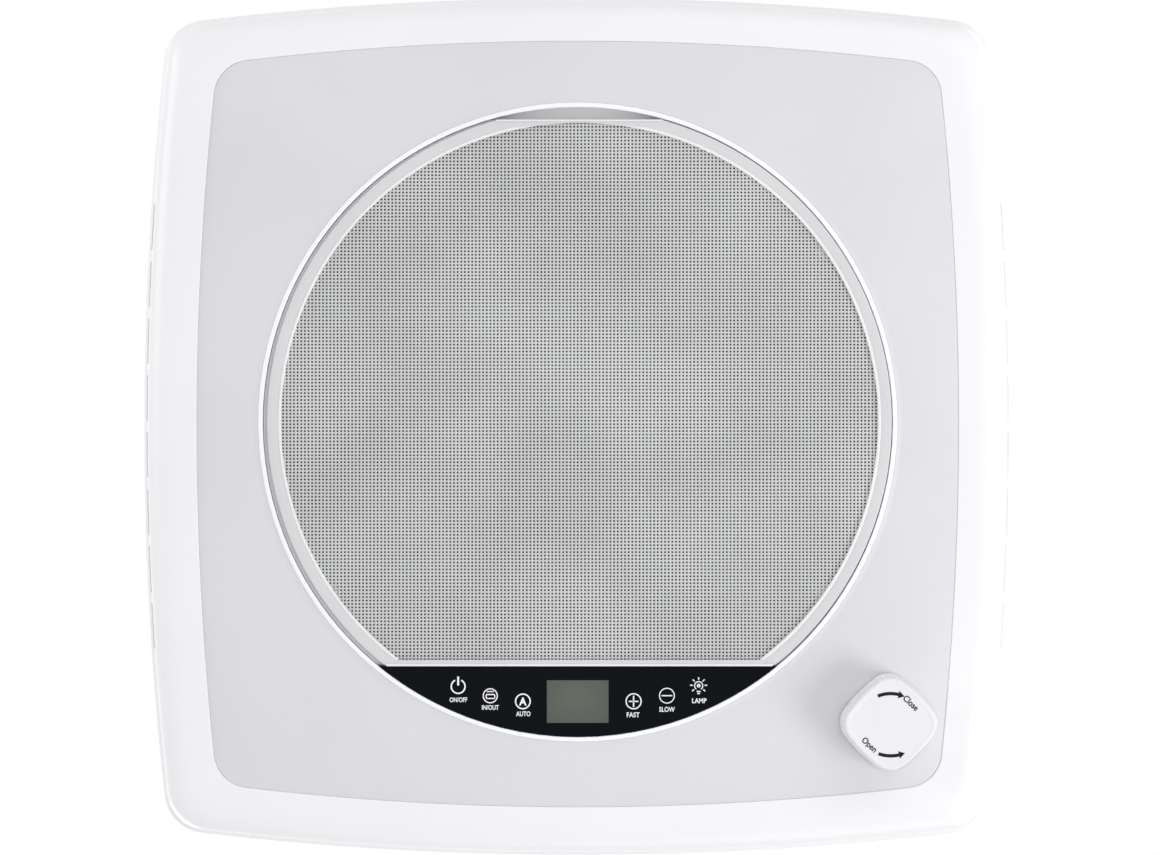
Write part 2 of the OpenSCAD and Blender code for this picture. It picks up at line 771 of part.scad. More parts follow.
module impeller_nut() {
    color(dark) difference() {
        translate([0, 0, hub_z - nut_h]) cylinder(r = shaft_r + 4, h = nut_h, $fn = 6);
        translate([0, 0, hub_z - nut_h + nut_cap]) cylinder(r = shaft_r, h = nut_h);
    }
}

module terminal_block() {
    at = deck_w / 2 - 26;
    color(nylon) translate([at, at, 0]) difference() {
        translate([-14, -8, 0]) cube([28, 16, 12]);
        for (x = [-7, 7]) translate([x, -3, 6]) cylinder(r = 2.5, h = far);
        for (x = [-7, 7]) translate([x, 0, 4]) along_y(1.8, 0, far);
    }
}

// feet of the gearbox and of the lift bracket on the deck
gear_foot_places = [for (s = [-1, 1]) [-crank_x + box_half + 6, -crank_y + 8 * s]];
lift_foot_places = [for (s = [-1, 1]) [-crank_x - 10, arm_y + (bracket_half + 6) * s]];
foot_places = concat(gear_foot_places, lift_foot_places);

// box over the bevel gears, open towards the deck
module corner_gearbox() {
    top = rod_z + bevel_r + add + 1 + box_wall;
    color(dark) difference() {
        union() {
            translate([-crank_x - box_half, -crank_y - box_half, 0]) cube([2 * box_half, 2 * box_half, top]);
            for (p = gear_foot_places) translate([p.x - 7, p.y - foot_w / 2, 0]) cube([12, foot_w, foot_t]);
        }
        translate([-crank_x - box_half + box_wall, -crank_y - box_half + box_wall, -1])
            cube([2 * (box_half - box_wall), 2 * (box_half - box_wall), top - box_wall + 1]);
        translate([-crank_x, 0, rod_z]) along_y(rod_r + fit, -crank_y, -crank_y + box_half + 1);
        for (p = gear_foot_places) translate([p.x, p.y, -1]) cylinder(r = gear_screw_r + 0.4, h = foot_t + 2);
    }
}

module gearbox_screws() {
    color(steel) for (p = gear_foot_places) translate([p.x, p.y, foot_t])
        screw(gear_screw_r, foot_t + deck_t);
}

// frame of four walls that carries the arm's shaft and the worm's two ends
module lift_bracket() {
    color(dark) difference() {
        union() {
            for (x = [-bracket_out, -bracket_in - bracket_wall]) {
                translate([x, arm_y - bracket_half, 0])
                    cube([bracket_wall, 2 * bracket_half, rod_z + worm_r]);
                translate([x, arm_y - axle_boss_r, 0]) cube([bracket_wall, 2 * axle_boss_r, arm_z]);
                translate([0, arm_y, arm_z]) along_x(axle_boss_r, x, x + bracket_wall);
            }
            for (y = [arm_y - bracket_half, arm_y + bracket_half - bracket_wall])
                translate([-bracket_out, y, 0])
                    cube([bracket_out - bracket_in, bracket_wall, rod_z + worm_r]);
            for (p = lift_foot_places) translate([p.x - foot_w / 2, p.y - foot_l / 2, 0])
                cube([foot_w, foot_l, foot_t]);
        }
        translate([0, arm_y, arm_z]) along_x(arm_shaft_r + fit, -far, 0);
        translate([-crank_x, 0, rod_z])
            along_y(rod_r + fit, arm_y - bracket_half - 1, arm_y + bracket_half + 1);
        for (p = lift_foot_places) translate([p.x, p.y, -1]) cylinder(r = gear_screw_r + 0.4, h = foot_t + 2);
    }
}

module lift_bracket_screws() {
    color(steel) for (p = lift_foot_places) translate([p.x, p.y, foot_t])
        screw(gear_screw_r, foot_t + deck_t);
}

// rod from the corner gearbox to the worm, parallel to Y
module drive_rod() {
    color(steel) translate([-crank_x, 0, rod_z])
        along_y(rod_r, -crank_y + bevel_r - bevel_h, arm_y + bracket_half + 3);
}

module rod_bevel() {
    color(nylon) translate([-crank_x, -crank_y + bevel_r, rod_z]) rotate([90, 0, 0])
        bevel_gear(rod_r, 1.2, 180 / bevel_teeth);
}

// left-handed single thread on a sleeve, a thread standing half a pitch beside the wheel's lowest tooth
module worm() {
    steps = 20;
    root = worm_r - ded;
    outer = worm_r + add;
    root_w = 1.7 * gear_m;
    tip_w = 0.5 * gear_m;
    turns = worm_turns;
    section = [
        [-root_w / 2, root - joint],
        [root_w / 2, root - joint],
        [tip_w / 2, outer],
        [-tip_w / 2, outer]
    ];
    color(nylon) translate([-crank_x, arm_y, rod_z]) rotate([-90, 0, 0]) difference() {
        union() {
            cylinder(r = root, h = (turns + 1.6) * worm_pitch, center = true);
            loft([
                for (i = [0:steps * turns])
                    let (t = 360 * (i / steps - turns / 2), z = worm_pitch * (0.25 - t / 360))
                    [for (p = section) [p.y * cos(t), p.y * sin(t), z + p.x]]
            ]);
        }
        cylinder(r = rod_r, h = far, center = true);
    }
}

module crank_shaft() {
    bottom = panel_z - knob_gap - knob_h + 4;
    color(steel) translate([-crank_x, -crank_y, bottom])
        cylinder(r = crank_r, h = rod_z - bevel_r + bevel_h - bottom);
}

module crank_bevel() {
    color(nylon) translate([-crank_x, -crank_y, rod_z - bevel_r]) bevel_gear(crank_r, bevel_hub, 0);
}

// flanged sleeve that guides the crank shaft through the trim
module crank_bushing() {
    color(nylon) translate([-crank_x, -crank_y, 0]) difference() {
        union() {
            translate([0, 0, panel_z]) cylinder(r = crank_r + 3, h = 12);
            translate([0, 0, floor_z + floor_t]) cylinder(r = crank_r + 6, h = 2);
        }
        translate([0, 0, panel_z - 1]) cylinder(r = crank_r + fit, h = far);
    }
}

// square knob with round corners, set cornerwise, its face slightly dished
module crank_knob() {
    base_z = panel_z - knob_gap;
    face = base_z - knob_h;
    rows = [
        [0.45, 0.9], [0.82, 0.8], [0.86, 0.1], [0.89, 0],
        [0.915, 0.3], [0.93, 1.2], [0.94, 3], [1, knob_h]
    ];
    color(white) translate([-crank_x, -crank_y, 0]) rotate(45) difference() {
        loft([
            for (row = rows)
                let (a = knob_a * row[0], r = knob_bow * row[0])
                ring_at(bowed(a, a, r, r, knob_r * row[0], 4, 8), 0, face + row[1])
        ]);
        translate([0, 0, face + 4]) cylinder(r = crank_r, h = far);
    }
}

module worm_wheel() {
    color(nylon) translate([-crank_x, arm_y, arm_z]) rotate([0, -90, 0]) difference() {
        union() {
            translate([0, 0, -wheel_w / 2]) linear_extrude(wheel_w)
                gear_outline(wheel_r, wheel_teeth, 0.7 * gear_m, 1.2 * gear_m, 1.8 * gear_m);
            cylinder(r = wheel_hub_r, h = arm_x - crank_x);
        }
        translate([0, 0, -wheel_w]) cylinder(r = arm_shaft_r, h = far);
    }
}

module arm_shaft() {
    color(steel) translate([0, arm_y, arm_z]) along_x(arm_shaft_r, -bracket_out - 1, -bracket_in + 1);
}

module lift_arm() {
    color(steel) translate([-arm_x, arm_y, arm_z]) rotate([-arm_slope, 0, 0])
        rotate([0, -90, 0]) difference() {
        linear_extrude(arm_t) {
            circle(arm_root_r);
            translate([0, -arm_len]) circle(arm_tip_r);
            polygon([[-arm_root_r, 0], [-arm_tip_r, -arm_len], [arm_tip_r, -arm_len], [arm_root_r, 0]]);
        }
        translate([0, 0, -1]) cylinder(r = arm_shaft_r, h = arm_t + 2);
        translate([0, -arm_len, -1]) cylinder(r = shoe_pin_r, h = arm_t + 2);
    }
}

module shoe_pin() {
    color(steel) translate([0, shoe_y, hinge_z]) {
        along_x(shoe_pin_r, -arm_x - arm_t, -shoe_x + shoe_w - 0.5);
        along_x(shoe_pin_r + 2, -arm_x - arm_t - 1.5, -arm_x - arm_t);
    }
}

module slide_shoe() {
    color(nylon) translate([0, shoe_y, hinge_z]) difference() {
        translate([-shoe_x, -shoe_l / 2, -shoe_half]) cube([shoe_w, shoe_l, 2 * shoe_half]);
        along_x(shoe_pin_r + fit, -shoe_x - 1, -shoe_x + shoe_w + 1);
    }
}

track_y = [shoe_y - shoe_l / 2 - 6, hinge_y - shoe_back + shoe_l / 2 + 6];
track_l = track_y[1] - track_y[0];
track_h = shoe_half + track_gap;
track_out = shoe_x + 0.8;
track_w = track_out - track_x + track_wall;
pad_places = [for (t = [0.08, 0.5, 0.92]) track_y[0] + t * track_l];
pad_l = 12;
pad_x = shoe_x - 4.5;
track_head_r = gear_screw_r + 1.5;

// channel under the lid, open towards the lift arm
module lid_track() {
    color(steel) difference() {
        translate([-track_out, track_y[0], hinge_z]) {
            translate([0, 0, track_h]) cube([track_w, track_l, track_wall]);
            translate([0, 0, -track_h - track_wall]) cube([track_w, track_l, track_wall]);
            translate([track_w - track_wall, 0, -track_h - joint])
                cube([track_wall, track_l, 2 * (track_h + joint)]);
        }
        for (y = pad_places) translate([-pad_x, y, hinge_z]) {
            cylinder(r = gear_screw_r + 0.4, h = far);
            cylinder(r = track_head_r + 0.2, h = track_h + track_wall / 2);
        }
    }
}

module track_screws() {
    color(steel) for (y = pad_places) translate([-pad_x, y, hinge_z + track_h + 0.1]) {
        cylinder(r = track_head_r, h = track_wall / 2 - 0.1, $fn = 32);
        cylinder(r = gear_screw_r, h = lid_in_z - hinge_z - track_h - 0.6, $fn = 32);
    }
}

// one ring of the lid's skin, d inside its outer outline
function lid_ring(d, z) =
    ring_at(bowed(lid_a - d, lid_b - d, lid_bow, lid_bow, lid_r + 0.12 * d), lid_shift, z);

// shell with a rim, a flat border and a raised middle, with ribs, pads and knuckles under it
module lid() {
    top = lid_in_z + lid_wall;
    rise = lid_a - lid_border;
    outer = [
        [0, lid_z], [1.2, lid_z + lid_rim_h - 12],
        [2.5, top - 6.5], [5.5, top - 2.4], [11, top],
        [lid_border, top],
        [lid_border + 0.1 * rise, top + 0.35 * lid_dome],
        [lid_border + 0.41 * rise, top + 0.9 * lid_dome],
        [lid_border + 0.69 * rise, top + lid_dome]
    ];
    inner = [
        for (i = [len(outer) - 1:-1:0])
            [outer[i][0] + lid_wall, i == 0 ? lid_z : outer[i][1] - lid_wall]
    ];
    color(smoke) difference() {
        union() {
            loft([for (p = concat(inner, outer)) lid_ring(p[0], p[1])]);
            square_ring(rib_line + rib_w, rib_line - rib_w, neck_r + 2, neck_r - 1, rib_z, lid_in_z + 0.8 - rib_z);
            for (y = pad_places) translate([-pad_x - 4, y - pad_l / 2, hinge_z + track_h + track_wall])
                cube([8, pad_l, lid_in_z + 0.8 - hinge_z - track_h - track_wall]);
            for (x = [-hinge_at, hinge_at]) translate([x - knuckle_w / 2, hinge_y, hinge_z]) {
                along_x(ear_r, 0, knuckle_w);
                translate([0, -ear_r, 0]) cube([knuckle_w, 2 * ear_r + 1, lid_in_z + 0.8 - hinge_z]);
            }
        }
        for (x = [-hinge_at, hinge_at]) translate([x, hinge_y, 0]) {
            translate([0, 0, hinge_z]) along_x(pin_r + fit, -knuckle_w, knuckle_w);
            for (s = [-1, 1]) translate([s * (knuckle_w / 2 + 7) - 7, ear_r - 4, lid_z - 1])
                cube([14, far, hinge_z + 4 - lid_z]);
            translate([-knuckle_w, ear_r + 1, lid_z - 1]) cube([2 * knuckle_w, far, hinge_z + 4 - lid_z]);
        }
        for (y = pad_places) translate([-pad_x, y, hinge_z])
            cylinder(r = gear_screw_r, h = lid_in_z - hinge_z - 0.5);
        translate([-track_out - gap, track_y[0] - gap, seal_z])
            cube([track_w + 2 * gap, track_l + 2 * gap, hinge_z + track_h + track_wall - seal_z]);
    }
}

// one ring of the trim's skin, d inside its outer outline
function trim_ring(d, z) =
    ring_at(bowed(trim_a - d, trim_b - d, side_bow - d, end_bow - d, trim_r - 0.08 * d), -trim_shift, z);
// one ring on the panel's recess, grown by g
function recess_ring(g, z) =
    ring_at(
        bowed(recess_a + g, recess_b + g, panel_bow + g, panel_end_bow + g, panel_r + g / 2),
        -panel_shift, z
    );

// the trim's skin from the panel's recess round its edge to the ceiling and back
module trim_skin() {
    steps = 6;
    round_h = trim_depth - band_h;
    turn = [for (i = [0:steps]) 90 * i / steps];
    loft(concat(
        [recess_ring(0, face_z)],
        [for (t = turn) trim_ring(band_draft + round_w * (1 - sin(t)), face_z + round_h * (1 - cos(t)))],
        [trim_ring(0, ceiling_z), trim_ring(trim_wall, ceiling_z)],
        [
            for (i = [steps:-1:1])
                trim_ring(
                    band_draft + trim_wall + (round_w - trim_wall) * (1 - sin(turn[i])),
                    face_z + trim_wall + (round_h - trim_wall) * (1 - cos(turn[i]))
                )
        ],
        [recess_ring(trim_wall, face_z + trim_wall), recess_ring(trim_wall, floor_z + floor_t)],
        [recess_ring(-6, floor_z + floor_t), recess_ring(-6, floor_z), recess_ring(0, floor_z)]
    ), true);
}

// ceiling trim with the floor of the panel's recess, the ring, the collar and the ledge behind the screen
module trim() {
    color(white) {
        difference() {
            union() {
                trim_skin();
                translate([0, 0, floor_z + 0.1]) linear_extrude(floor_t - 0.2)
                    translate([0, -panel_shift])
                        polygon(bowed(recess_a - 5, recess_b - 5, panel_bow, panel_end_bow, panel_r));
                translate([0, 0, ring_z])
                    cylinder(r = ring_r + ring_w, h = floor_z + floor_t + 0.4 - ring_z, $fn = big_fn);
                translate([0, 0, floor_z])
                    cylinder(r = ring_r + collar_wall, h = collar_z - floor_z, $fn = big_fn);
                for (s = [-1, 1], y = [-lamp_half - lamp_rib, lamp_half])
                    translate([0, y - trim_shift, lamp_z - band_h / 2 - 1]) mirror([s < 0 ? 1 : 0, 0, 0])
                        translate([trim_a - lamp_rib_in, 0, 0])
                            cube([lamp_rib_in - lamp_rib_out, lamp_rib, band_h]);
            }
            translate([0, 0, -far]) cylinder(r = ring_r, h = 2 * far, $fn = big_fn);
            translate([-crank_x, -crank_y, -far]) cylinder(r = crank_r + 3, h = far);
            for (s = [-1, 1], y = slot_places)
                translate([s * trim_a - 10, y - slot_len / 2 - trim_shift, lamp_z - slot_h / 2])
                    cube([20, slot_len, slot_h]);
        }
        difference() {
            union() {
                tube(ring_r + joint, ledge_r, ledge_z, ledge_t);
                intersection() {
                    for (p = trim_screw_places) translate([p.x, p.y, ledge_z])
                        cylinder(r = boss_r + 1, h = ledge_t);
                    translate([0, 0, ledge_z]) cylinder(r = ring_r + joint, h = ledge_t);
                }
            }
            for (p = trim_screw_places) translate([p.x, p.y, ledge_z]) trim_screw_shape(0.2);
        }
    }
}

// countersunk head and shank, grown by g
module trim_screw_shape(g) {
    translate([0, 0, -g]) cylinder(r1 = 1.9 * deck_screw_r + g, r2 = deck_screw_r + g, h = 1.6 + g, $fn = 32);
    cylinder(r = deck_screw_r + g, h = trim_screw_l, $fn = 32);
}

module trim_screws() {
    color(steel) for (p = trim_screw_places) translate([p.x, p.y, ledge_z]) trim_screw_shape(0);
}

module face_panel() {
    color(grey) translate([0, 0, panel_z]) difference() {
        linear_extrude(panel_t) translate([0, -panel_shift])
            polygon(bowed(panel_w / 2, panel_l / 2, panel_bow, panel_end_bow, panel_r));
        translate([0, 0, -1]) cylinder(r = ring_r + ring_w + 0.2, h = far, $fn = big_fn);
        translate([-crank_x, -crank_y, -1]) cylinder(r = crank_r + 3.2, h = far);
    }
}

// strip behind one side's slots, with a window in each slot; s is the side's sign along X
module lamp_lens(s) {
    middle = trim_a - side_bow;
    color("white") translate([0, -trim_shift, lamp_z]) mirror([s < 0 ? 1 : 0, 0, 0]) difference() {
        union() {
            intersection() {
                translate([middle, 0, -far / 2]) cylinder(r = side_bow - lens_in, h = far, $fn = big_fn);
                translate([trim_a - 20, -lamp_half, -band_h / 2 + 1]) cube([20, 2 * lamp_half, band_h - 2]);
            }
            intersection() {
                translate([middle, 0, -far / 2]) cylinder(r = side_bow - band_draft, h = far, $fn = big_fn);
                for (y = slot_places) translate([trim_a - 20, y - slot_len / 2 + 0.2, -slot_h / 2 + 0.2])
                    cube([20, slot_len - 0.4, slot_h - 0.4]);
            }
        }
        translate([middle, 0, -far / 2]) cylinder(r = side_bow - lens_in - lens_t, h = far, $fn = big_fn);
    }
}

module lamp_lens_left() { lamp_lens(1); }

module lamp_lens_right() { lamp_lens(-1); }

// board with one light chip behind each slot
module lamp_board(s) {
    color(white) translate([0, -trim_shift, lamp_z]) mirror([s < 0 ? 1 : 0, 0, 0]) {
        translate([trim_a - board_in - 1.6, -lamp_half, -band_h / 2 + 1])
            cube([1.6, 2 * lamp_half, band_h - 2]);
        for (y = slot_places) translate([trim_a - board_in, y - 1.75, -1.75]) cube([1, 3.5, 3.5]);
    }
}

module lamp_board_left() { lamp_board(1); }

module lamp_board_right() { lamp_board(-1); }

// the screen's opening or groove, grown by g
module mesh_shape(g = 0) {
    difference() {
        circle(mesh_r + g, $fn = big_fn);
        translate([-far / 2, -screen_bottom + chord_w - g - far]) square(far);
    }
}

// frame with two straight edges, a bead round the mesh and a groove that holds the net
module screen_frame() {
    net_z = screen_t;
    color(white) translate([-screen_play, 0, screen_z]) difference() {
        union() {
            linear_extrude(net_z + net_t + screen_back_t) difference() {
                intersection() {
                    circle(screen_r, $fn = big_fn);
                    translate([-far / 2, -screen_bottom]) square([far, screen_bottom + screen_top]);
                }
                mesh_shape();
            }
            translate([0, 0, -bead_t]) linear_extrude(bead_t + joint) difference() {
                mesh_shape(1.2);
                mesh_shape();
            }
        }
        translate([0, 0, net_z]) linear_extrude(net_t) mesh_shape(1.6);
    }
}

// net of straight bars held in the frame's groove
module screen_net() {
    half = floor((mesh_r + 1) / net_pitch);
    color(grey) translate([-screen_play, 0, screen_z + screen_t]) linear_extrude(net_t) intersection() {
        mesh_shape(1.5);
        union() {
            difference() {
                mesh_shape(1.5);
                mesh_shape(0.3);
            }
            for (i = [-half:half]) {
                translate([(i - 0.5) * net_pitch - net_bar / 2, -far / 2]) square([net_bar, far]);
                translate([-far / 2, (i - 0.5) * net_pitch - net_bar / 2]) square([far, net_bar]);
            }
        }
    }
}

housing_z = panel_z + glass_t - 2;
housing_in = ledge_r - 1;

// shallow box behind the glass, its flange seated on the collar's ledge
module control_housing() {
    lower = ledge_z - housing_z;
    color(dark) difference() {
        union() {
            translate([0, 0, housing_z]) linear_extrude(lower) segment(ring_r - 0.6, glass_edge);
            translate([0, 0, ledge_z - joint]) linear_extrude(housing_depth + joint)
                segment(housing_in, glass_edge);
        }
        translate([0, 0, housing_z - 1]) linear_extrude(lower + 1) segment(ring_r - 2, glass_edge + 1.5);
        translate([0, 0, housing_z]) linear_extrude(lower + housing_depth - 1.5)
            segment(housing_in - 1.5, glass_edge + 1.5);
    }
}

lcd_t = 4;

module circuit_board() {
    color([0.10, 0.35, 0.18]) translate([0, 0, housing_z - glass_t + lcd_t])
        linear_extrude(board_t) segment(housing_in - 1.5, glass_edge + 1.5);
}

module display() {
    color([0.42, 0.43, 0.40]) translate([-lcd_w / 2 + 0.1, -lcd_at - lcd_h / 2 + 0.1, housing_z - glass_t])
        cube([lcd_w - 0.2, lcd_h - 0.2, lcd_t]);
}

module control_glass() {
    color([0.05, 0.05, 0.06]) translate([0, 0, housing_z - glass_t]) linear_extrude(glass_t) difference() {
        segment(ring_r - 0.4, glass_edge);
        translate([-lcd_w / 2, -lcd_at - lcd_h / 2]) square([lcd_w, lcd_h]);
    }
}

base_frame();
roof_gasket();
coaming_seal();
hinge_brackets();
hinge_screws();
hinge_pins();
fan_shroud();
shroud_screws();
motor_bracket();
bracket_screws();
motor_can();
motor_magnets();
motor_end_bell();
motor_bearings();
motor_screws();
fan_shaft();
armature();
impeller();
impeller_nut();
terminal_block();
corner_gearbox();
gearbox_screws();
lift_bracket();
lift_bracket_screws();
drive_rod();
rod_bevel();
worm();
crank_shaft();
crank_bevel();
crank_bushing();
crank_knob();
worm_wheel();
arm_shaft();
lift_arm();
shoe_pin();
slide_shoe();
lid();
lid_track();
track_screws();
trim();
trim_screws();
face_panel();
lamp_lens_left();
lamp_lens_right();
lamp_board_left();
lamp_board_right();
screen_frame();
screen_net();
control_housing();
circuit_board();
display();
control_glass();
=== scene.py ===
"""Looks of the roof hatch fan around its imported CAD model.

Sizes are millimetres in the row's frame (+Z to the sky, z = 0 the roof's outer surface) until mesh_piece
turns them into metres. The camera looks up at the ceiling side, so the picture's right is -X.
"""
import math

import bmesh
import bpy
from mathutils import Matrix, Vector


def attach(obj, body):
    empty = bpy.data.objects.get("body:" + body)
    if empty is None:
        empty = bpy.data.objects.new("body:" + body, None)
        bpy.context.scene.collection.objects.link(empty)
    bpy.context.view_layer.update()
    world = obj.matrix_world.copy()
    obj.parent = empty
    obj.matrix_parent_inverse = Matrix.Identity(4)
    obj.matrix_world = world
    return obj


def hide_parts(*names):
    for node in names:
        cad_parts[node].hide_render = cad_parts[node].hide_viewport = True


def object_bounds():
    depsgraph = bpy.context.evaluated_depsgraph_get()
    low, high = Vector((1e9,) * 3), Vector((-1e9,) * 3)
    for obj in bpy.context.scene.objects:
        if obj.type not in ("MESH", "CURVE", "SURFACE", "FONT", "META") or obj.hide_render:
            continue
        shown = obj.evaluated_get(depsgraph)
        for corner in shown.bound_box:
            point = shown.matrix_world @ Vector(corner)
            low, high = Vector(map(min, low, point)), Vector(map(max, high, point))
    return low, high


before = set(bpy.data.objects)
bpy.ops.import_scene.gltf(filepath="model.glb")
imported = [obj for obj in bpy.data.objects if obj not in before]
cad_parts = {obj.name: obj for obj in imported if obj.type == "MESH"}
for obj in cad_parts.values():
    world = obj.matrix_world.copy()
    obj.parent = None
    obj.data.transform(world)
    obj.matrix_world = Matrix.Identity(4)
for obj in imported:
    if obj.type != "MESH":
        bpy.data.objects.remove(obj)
cad_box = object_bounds()

MM = 0.001

# levels of the ceiling side
CEILING_Z = -50.0
FACE_Z = -70.0
PANEL_Z = -69.5
PANEL_T = 2.5
FLOOR_Z = -67.0
FLOOR_T = 2.0
RING_Z = -70.9
COLLAR_TOP = -34.0
LEDGE_Z = -65.7
LEDGE_T = 2.0
GLASS_Z = -71.0

# ceiling trim
TRIM_A, TRIM_B = 218.0, 215.5
TRIM_SHIFT = 2.25
SIDE_BOW, END_BOW = 1690.0, 1600.0
TRIM_R = 21.0
TRIM_WALL = 2.5
BAND_H = 9.0
LIP_W, LIP_H = 1.6, 2.0
BAND_DRAFT = 2.4
ROUND_W = 15.7
SLOT_N, SLOT_PITCH, SLOT_LEN, SLOT_H = 8, 28.6, 23.0, 5.0
SLOT_CUT = 10.0

# face panel and ring
PANEL_A, PANEL_B = 190.5, 191.5
PANEL_SHIFT = 1.0
PANEL_BOW, PANEL_END_BOW = 1600.0, 1420.0
PANEL_R = 18.5
PANEL_GAP = 0.3
SEAM = 0.05
RING_R, RING_W = 157.5, 2.4
COLLAR_WALL = 2.5
LEDGE_R = 150.5
TRIM_SCREW_AT, TRIM_SCREW_ANGLE = 152.0, 35.0
TAB_R, SCREW_HEAD_R, SCREW_HOLE_R = 5.5, 3.7, 2.0
BUSHING_R = 6.2

# screen
SCREEN_X, SCREEN_Y = -0.9, 0.3
SCREEN_Z = -70.8
SCREEN_BACK_Z = -66.2
SCREEN_FALL = 1.0
SCREEN_R, SCREEN_TOP, SCREEN_BOTTOM = 156.2, 151.25, 121.7
MESH_R, MESH_BOTTOM = 149.3, 119.0
BEAD_W, BEAD_H = 1.5, 0.5
BEAD_FADE_FROM, BEAD_FADE_OVER = 8.0, 5.0
STEP_Z, STEP_GAP = -68.6, 0.35
NET_Z = -68.0
NET_PITCH_X, NET_PITCH_Y = 1.82, 1.73
NET_MARGIN, NET_FIRST_ROW = 1.0, 0.4
STRAND_LONG_W, STRAND_CROSS_W, STRAND_H, STRAND_OFF = 0.48, 0.46, 0.16, 0.06

# crank knob
CRANK_X, CRANK_Y = -155.5, -150.0
KNOB_BASE_Z, KNOB_H = -70.2, 25.0
KNOB_A, KNOB_BOW, KNOB_R = 21.2, 80.0, 11.1
KNOB_RIB, KNOB_RIBS = 0.32, 84
KNOB_PRINT_AT, KNOB_PRINT_T = 0.47, 0.09

# lid and hinge
LID_A, LID_B, LID_SHIFT = 203.0, 203.0, 3.0
LID_WALL = 3.0
LID_Z, LID_TOP, LID_DOME = 46.0, 75.0, 12.0
LID_BOW, LID_R = 2600.0, 22.0
HINGE_Y, HINGE_Z, HINGE_AT = 192.0, 60.0, 110.0
KNUCKLE_W, PIN_R = 14.0, 3.0
KNUCKLE_R = 6.0
RIB_LINE, RIB_T, RIB_Z = 363.0, 2.5, 53.3
PAD_X, TRACK_TOP = 155.1, 66.8
PAD_W, PAD_L, PILOT_R = 8.0, 12.0, 1.3
TRACK_Y = (-146.487, 40.497)
PAD_PLACES = [TRACK_Y[0] + t * (TRACK_Y[1] - TRACK_Y[0]) for t in (0.08, 0.5, 0.92)]
EAR_SLOT_HALF = 7.0

# places in the photograph, in pixels, and its scale
AXIS_PX, AXIS_PY = 577.7, 422.0
KNOB_PX, KNOB_PY = 889.2, 722.9
MM_PER_PX = 0.5
POWER_SIGN, FLOW_SIGN, AUTO_SIGN = (458.2, 686.4), (490.3, 695.7), (522.9, 701.3)
FAST_SIGN, SLOW_SIGN, LAMP_SIGN = (633.6, 701.2), (666.9, 695.6), (698.6, 685.6)
UPPER_ARROW = (876.6, 696.0), (901.6, 694.0)
LOWER_ARROW = (876.8, 752.6), (901.6, 752.0)

# each word's middle, width and height in the photograph's pixels
SIGN_WORDS = {
    "ON/OFF": (458.5, 699.7, 17.6, 4.8),
    "IN/OUT": (490.4, 707.4, 17.0, 4.8),
    "A": (522.9, 701.4, 7.6, 8.0),
    "AUTO": (523.3, 713.7, 14.4, 5.0),
    "FAST": (633.2, 714.7, 12.9, 5.0),
    "SLOW": (667.0, 709.3, 15.6, 5.0),
    "LAMP": (699.3, 700.6, 14.4, 5.0),
}
KNOB_WORDS = {
    "Close": (909.2, 701.9, 17.8, 6.6),
    "Open": (867.4, 744.0, 17.4, 8.4),
}

# camera, straight below, and the width it sees at the object, in millimetres
CAMERA_X, CAMERA_Y, CAMERA_FAR = -1.15, -2.75, 3500.0
PICTURE_W = 580.0

# scale of the drifting tones and of the uneven gloss, and strength of the soft light around
DRIFT_SCALE, GLOSS_SCALE = 14.0, 60.0
SOFT_LIGHT = 0.655

# farther out than any edge
NO_CUT = 500.0


# outlines

def circle(r, angles, cx=0.0, cy=0.0):
    return [(cx + r * math.cos(t), cy + r * math.sin(t)) for t in angles]


def meet(p, r, q, s):
    """The crossing of two circles that lies in the first quadrant."""
    dx, dy = q[0] - p[0], q[1] - p[1]
    d = math.hypot(dx, dy)
    ux, uy = dx / d, dy / d
    k = (r * r - s * s + d * d) / (2 * d)
    h = math.sqrt(r * r - k * k)
    return p[0] + k * ux - h * uy, p[1] + k * uy + h * ux


def bowed(a, b, ra, rb, rc, n=14, m=16):
    """A rectangle with bowed sides and round corners, counter-clockwise from the X axis."""
    ca, cb = (a - ra, 0.0), (0.0, b - rb)
    f = meet(ca, ra - rc, cb, rb - rc)
    t1 = math.atan2(f[1], f[0] - ca[0])
    t2 = math.atan2(f[1] - cb[1], f[0])
    q = [(ca[0] + ra * math.cos(t1 * i / n), ra * math.sin(t1 * i / n)) for i in range(n)]
    q += [
        (f[0] + rc * math.cos(t1 + (t2 - t1) * i / m), f[1] + rc * math.sin(t1 + (t2 - t1) * i / m))
        for i in range(m + 1)
    ]
    half = math.pi / 2
    q += [
        (rb * math.cos(t2 + (half - t2) * i / n), cb[1] + rb * math.sin(t2 + (half - t2) * i / n))
        for i in range(1, n + 1)
    ]
    e = len(q) - 1
    return (
        q
        + [(-q[i][0], q[i][1]) for i in range(e - 1, -1, -1)]
        + [(-q[i][0], -q[i][1]) for i in range(1, e + 1)]
        + [(q[i][0], -q[i][1]) for i in range(e - 1, 0, -1)]
    )


def at(points, z, dx=0.0, dy=0.0):
    return [(x + dx, y + dy, z) for x, y in points]


def d_shape(r, bottom, top, angles):
    """A disc cut off straight below -bottom and above top, as one point on each ray."""
    out = []
    for t in angles:
        s = math.sin(t)
        rho = r
        if s < 0:
            rho = min(rho, bottom / -s)
        if s > 0:
            rho = min(rho, top / s)
        out.append((rho * math.cos(t), rho * math.sin(t)))
    return out


# meshes

def mesh_piece(name, verts, faces, material, body, smooth=35.0):
    mesh = bpy.data.meshes.new(name)
    mesh.from_pydata([(x * MM, y * MM, z * MM) for x, y, z in verts], [], faces)
    return dress(name, mesh, material, body, smooth)


